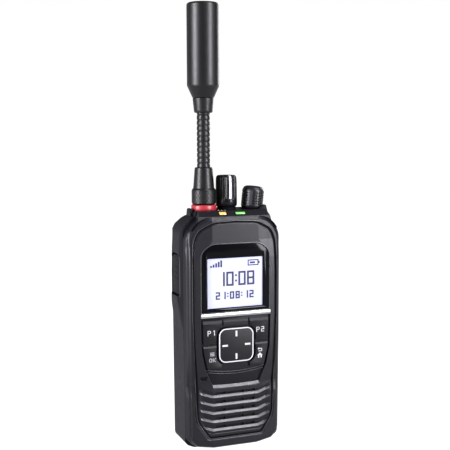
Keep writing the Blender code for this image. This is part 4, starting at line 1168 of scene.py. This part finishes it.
def antenna():
    at = (ANTENNA_X, 0, 0)
    r = (RING.right - RING.left) / 2
    low, top = RING.low, RING.top
    ring = [(3.4, top), (r - 0.5, top), (r - 0.15, top - 0.2), (r, top - 0.6), (r, low + 1.1),
            (r - 0.15, low + 0.5), (r - 0.5, low + 0.1), (r - 0.8, low), (3.4, low)]
    finish_piece(lathe("antenna_red_ring", ring, at, 96), "antenna_lower", RED,
                 ["antenna_ring"], 40)
    nut_r = (NUT.right - NUT.left) / 2
    nut_low, collar_top = NUT.low, NUT.top
    nut_top = nut_low + 8.5

    def knurl(reach, height, angle):
        if reach < nut_r * 0.9 or not nut_low + 0.8 < height < nut_top - 0.9:
            return reach
        across = abs(math.sin(15 * angle + 1.2 * height)) < 0.35
        along = abs(math.sin(15 * angle - 1.2 * height)) < 0.35
        return reach - (0.09 if across or along else 0.0)

    profile = [(2.0, collar_top), (4.5, collar_top), (4.9, collar_top - 0.2), (5.05, collar_top - 0.6)]
    profile += [(5.08 + 0.82 * i / 8, collar_top - 0.8 - i * (collar_top - nut_top - 1.8) / 8)
                for i in range(9)]
    profile += [(5.95, nut_top + 0.6), (6.3, nut_top + 0.1), (6.7, nut_top - 0.3),
                (nut_r, nut_top - 0.8)]
    profile += [(nut_r, nut_top - 0.9 - i * (nut_top - nut_low - 1.7) / 28) for i in range(29)]
    profile += [(nut_r, nut_low + 0.7), (nut_r - 0.3, nut_low + 0.2), (nut_r - 0.7, nut_low),
                (2.0, nut_low)]
    finish_piece(lathe("antenna_nut", profile, at, 180, radius=knurl), "antenna_lower", SATIN,
                 ["antenna_base"], 35)
    neck(at)
    collar = [(2.2, COLLAR.top + 0.25), (5.75, COLLAR.top + 0.2), (5.9, COLLAR.top - 0.1)]
    collar += [(5.88 - 0.72 * i / 8, COLLAR.top - 0.4 - i * (COLLAR.top - COLLAR.low - 1.0) / 8)
               for i in range(9)]
    collar += [(5.0, COLLAR.low + 0.3), (4.6, COLLAR.low), (2.2, COLLAR.low)]
    finish_piece(lathe("antenna_taper", collar, at, 96), "antenna_upper", SATIN,
                 ["antenna_collar"], 35)
    big = (RADOME.right - RADOME.left) / 2
    cone_low, crown_top = RADOME.low, RADOME.top
    cone_top = cone_low + 6.1
    shell = [(0.0, crown_top - 0.12), (3.0, crown_top - 0.1), (6.5, crown_top), (7.6, crown_top)]
    shell += [(7.6 + 1.4 * math.sin(a * math.pi / 12), crown_top - 1.4 + 1.4 * math.cos(a * math.pi / 12))
              for a in range(1, 7)]
    shell += [(big, crown_top - 6.0), (big, crown_top - 6.25), (big, cone_top + 14),
              (big, cone_top + 1.2), (big - 0.08, cone_top + 0.5), (big - 0.3, cone_top),
              (6.15, cone_low + 0.5), (5.95, cone_low + 0.15), (5.7, cone_low), (2.4, cone_low)]
    finish_piece(lathe("antenna_shell", shell, at, 128), "antenna_upper", SATIN,
                 ["antenna_radome"], 35)


def ribbed(top, low, r=3.75, pitch=3.0):
    """The profile of a ribbed sleeve."""
    profile = [(0.0, top)]
    count = round((top - low) / 0.2)
    for i in range(count + 1):
        z = top - (top - low) * i / count
        phase = (z % pitch) / pitch
        dip = 0.22 * max(0.0, 1 - (abs(phase - 0.5) / 0.12) ** 2)
        swell = 0.06 * math.cos(2 * math.pi * phase)
        profile.append((r - 0.1 - dip + swell, z))
    profile.append((0.0, low))
    return profile


def neck(at):
    """The flexible neck in two ribbed sleeves, which meet between its two bend joints."""
    base = COLLAR.low
    foot = NUT.top
    bend = {name: joint_place(name)[2] for name in ("neck_bend_forward", "neck_bend_sideways")}
    middle = (bend["neck_bend_forward"] + bend["neck_bend_sideways"]) / 2
    sleeves = (
        ("neck_lower_sleeve", foot, middle + 0.6, "antenna_lower", "antenna_middle",
         bend["neck_bend_forward"], ["antenna_neck_lower", "antenna_neck_middle"]),
        ("neck_upper_sleeve", middle - 0.6, base + 0.1, "antenna_middle", "antenna_upper",
         bend["neck_bend_sideways"], ["antenna_neck_upper"]),
    )
    for name, low, top, below, above, turn, nodes in sleeves:
        sleeve = lathe(name, ribbed(top, low), at, 48)
        finish_piece(sleeve, None, SATIN, nodes, 50)
        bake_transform(sleeve)


# ---- side and back details

def talk_key():
    outline = rounded([(-5.9, 87.3, 1.2), (6.3, 87.3, 1.2), (6.3, 109.6, 3.6), (-5.9, 109.6, 4.1)])
    face = -29.7
    key = prism("talk_key", [outline], face, -28.8, "X", edge=0.4, segments=3)
    for vertex in key.data.vertices:
        if vertex.co.x / MM < face + 0.3:
            y = vertex.co.y / MM
            vertex.co.x += 0.2 * MM * ((y / 6.5) ** 2 - 1)
    finish_piece(key, "talk_button", RUBBER, ["ptt_key"])
    ridges = bars(3, 95.4, 3.2, -3.6, 3.6, 1.1, 0.5, 4, face - 0.25, face + 0.4, "X", ends="low")
    finish_piece(joined("talk_key_ridges", ridges), "talk_button", RUBBER)
    # The lip at the pocket's front edge takes the painted highlight material.
    lip = prism("talk_key_lip", [moved_in(POCKET, -0.75), moved_in(POCKET, 0.05)], -30.1, -28.4,
                "X", edge=0.25, ends="low")
    boolean(lip, prism("half", [rectangle(-3.0, 80, 20, 120)], -40, -20, "X"))
    finish_piece(lip, "handset", PAINTED_HIGHLIGHT)


def side_and_back():
    talk_key()
    cover = refined("jack_cover", "jack_flap", 0.3, 3)
    finish_piece(cover, "jack_door", RUBBER, ["jack_cover"], 35)
    ribs = bars(4, JACK.low + 9.6, 2.2, -3.4, 4.6, 0.9, 0.4, 3, 29.6, 30.25, "X")
    finish_piece(joined("jack_flap_ribs", ribs), "jack_door", RUBBER)
    for node, name, body, look, slot_name, width in (
        ("jack_screw", "jack_bolt_head", "jack_bolt", STEEL, "black_steel", 0.18),
        ("belt_clip", "clip_blade", "clip", CHARCOAL, "case", 0.45),
        ("clip_bracket", "clip_mount", "handset", SIDE_PLASTIC, "case", 0.3),
        ("battery_latch", "latch_slider", "battery_release", RUBBER, "soft_black", 0.3),
    ):
        piece = refined(node, name, width, 3)
        finish_piece(piece, body, look, [node], 35)
    ridges = bars(4, LATCH.low + 1.3, 1.1, -5.5, 5.5, 0.5, 0.2, 3, LATCH.back - 0.1,
                  LATCH.back + 0.25, edge=0.1)
    finish_piece(joined("latch_ridges", ridges), "battery_release", RUBBER)


def carried_over():
    """Better finishes on the CAD parts that keep their own shape."""
    looks = {
        BOARD: ("main_board", "key_board", "battery_board"),
        BRIGHT: ("satellite_module", "rf_shield", "speaker", "microphone", "rotary_switch",
                 "volume_pot", "clip_pin", "clip_spring"),
        # The two knob shafts take the painted shade black where they show under the knobs.
        SHADOW: ("rotary_shaft", "volume_shaft"),
        BRASS: ("antenna_bushing", "antenna_insert", "antenna_element", "accessory_connector",
                "battery_terminals"),
        RUBBER: ("case_gasket", "key_mat", "dpad_rocker"),
        CLOTH: ("speaker_cloth",),
        GLOSS: ("ptt_switch",),
        STEEL: ("case_screw_1", "case_screw_2", "case_screw_3", "case_screw_4", "clip_screw"),
        CELL: ("battery_cell",),
        CHARCOAL: ("battery_lid",),
    }
    for look, names in looks.items():
        for name in names:
            node = frame["nodes"][name]
            node.data.materials.clear()
            node.data.materials.append(look)
            for polygon in node.data.polygons:
                polygon.material_index = 0


# ---- studio

def lamp(name, place, size, power):
    """A soft rectangular lamp that faces the phone."""
    light = bpy.data.lights.new(name, "AREA")
    light.shape = "RECTANGLE"
    light.size, light.size_y = size
    light.energy = power
    light.color = LAMP_TINT
    lit = bpy.data.objects.new(name, light)
    lit.location = place
    lit.rotation_euler = (Vector(LAMP_AIM) - Vector(place)).to_track_quat("-Z", "Y").to_euler()
    bpy.context.scene.collection.objects.link(lit)


def studio():
    world = bpy.data.worlds.new("white_room")
    world.use_nodes = True
    nodes, links = world.node_tree.nodes, world.node_tree.links
    path = nodes.new("ShaderNodeLightPath")
    level = nodes.new("ShaderNodeMapRange")
    level.inputs["To Min"].default_value = 0.3
    level.inputs["To Max"].default_value = 1.0
    links.new(path.outputs["Is Camera Ray"], level.inputs["Value"])
    links.new(level.outputs["Result"], nodes["Background"].inputs["Strength"])
    nodes["Background"].inputs["Color"].default_value = (1.0, 1.0, 1.0, 1.0)
    bpy.context.scene.world = world
    bm = bmesh.new()
    bmesh.ops.create_grid(bm, x_segments=40, y_segments=40, size=9000)
    floor = add("floor", bm)
    floor.data.materials.append(
        material("pale_floor", (0.15, 0.15, 0.15), 0.8, grain=0.05, grain_size=4.0, mottle=0.01,
                 specular=0.05, emission=6.4))
    lamp("overhead", (0.37, -0.46, 0.95), (0.35, 0.35), 7.0)
    lamp("left_strip", (-0.97, -0.20, 0.30), (0.40, 0.8), 32.0)
    lamp("right_strip", (0.56, -0.83, 0.30), (0.25, 0.8), 24.0)
    lamp("back_left", (-0.45, 0.85, 0.30), (0.16, 0.8), 0.4)
    lamp("back_fill", (0.80, 0.60, 0.40), (0.30, 0.5), 4.0)
    eye = Vector((-0.182, -0.474, 0.178))
    aim = Vector((-0.0001, 0.0, 0.125))
    camera = bpy.data.cameras.new("camera")
    camera.lens = 71.3
    camera.sensor_width = 36.0
    camera.clip_start = 0.01
    viewer = bpy.data.objects.new("camera", camera)
    viewer.location = eye
    turn = (aim - eye).to_track_quat("-Z", "Y")
    roll = Matrix.Rotation(math.radians(-0.2), 4, "Z")
    viewer.rotation_euler = (turn.to_matrix().to_4x4() @ roll).to_euler()
    bpy.context.scene.collection.objects.link(viewer)
    bpy.context.scene.camera = viewer
    bpy.context.scene.view_settings.view_transform = "Standard"
    bpy.context.scene.view_settings.gamma = 0.84


front_shell()
groove_line()
seam_line()
rear_shell()
battery_shell()
display()
keypad()
indicator("amber_indicator", -8.5, -4.4, 132.3, 133.8, AMBER, "led_lens_amber")
indicator("green_indicator", 1.2, 6.9, 132.3, 133.5, GREEN, "led_lens_green")
channel_dots()
rotary_selector()
volume_control()
antenna()
side_and_back()
carried_over()
studio()

bpy.context.view_layer.update()
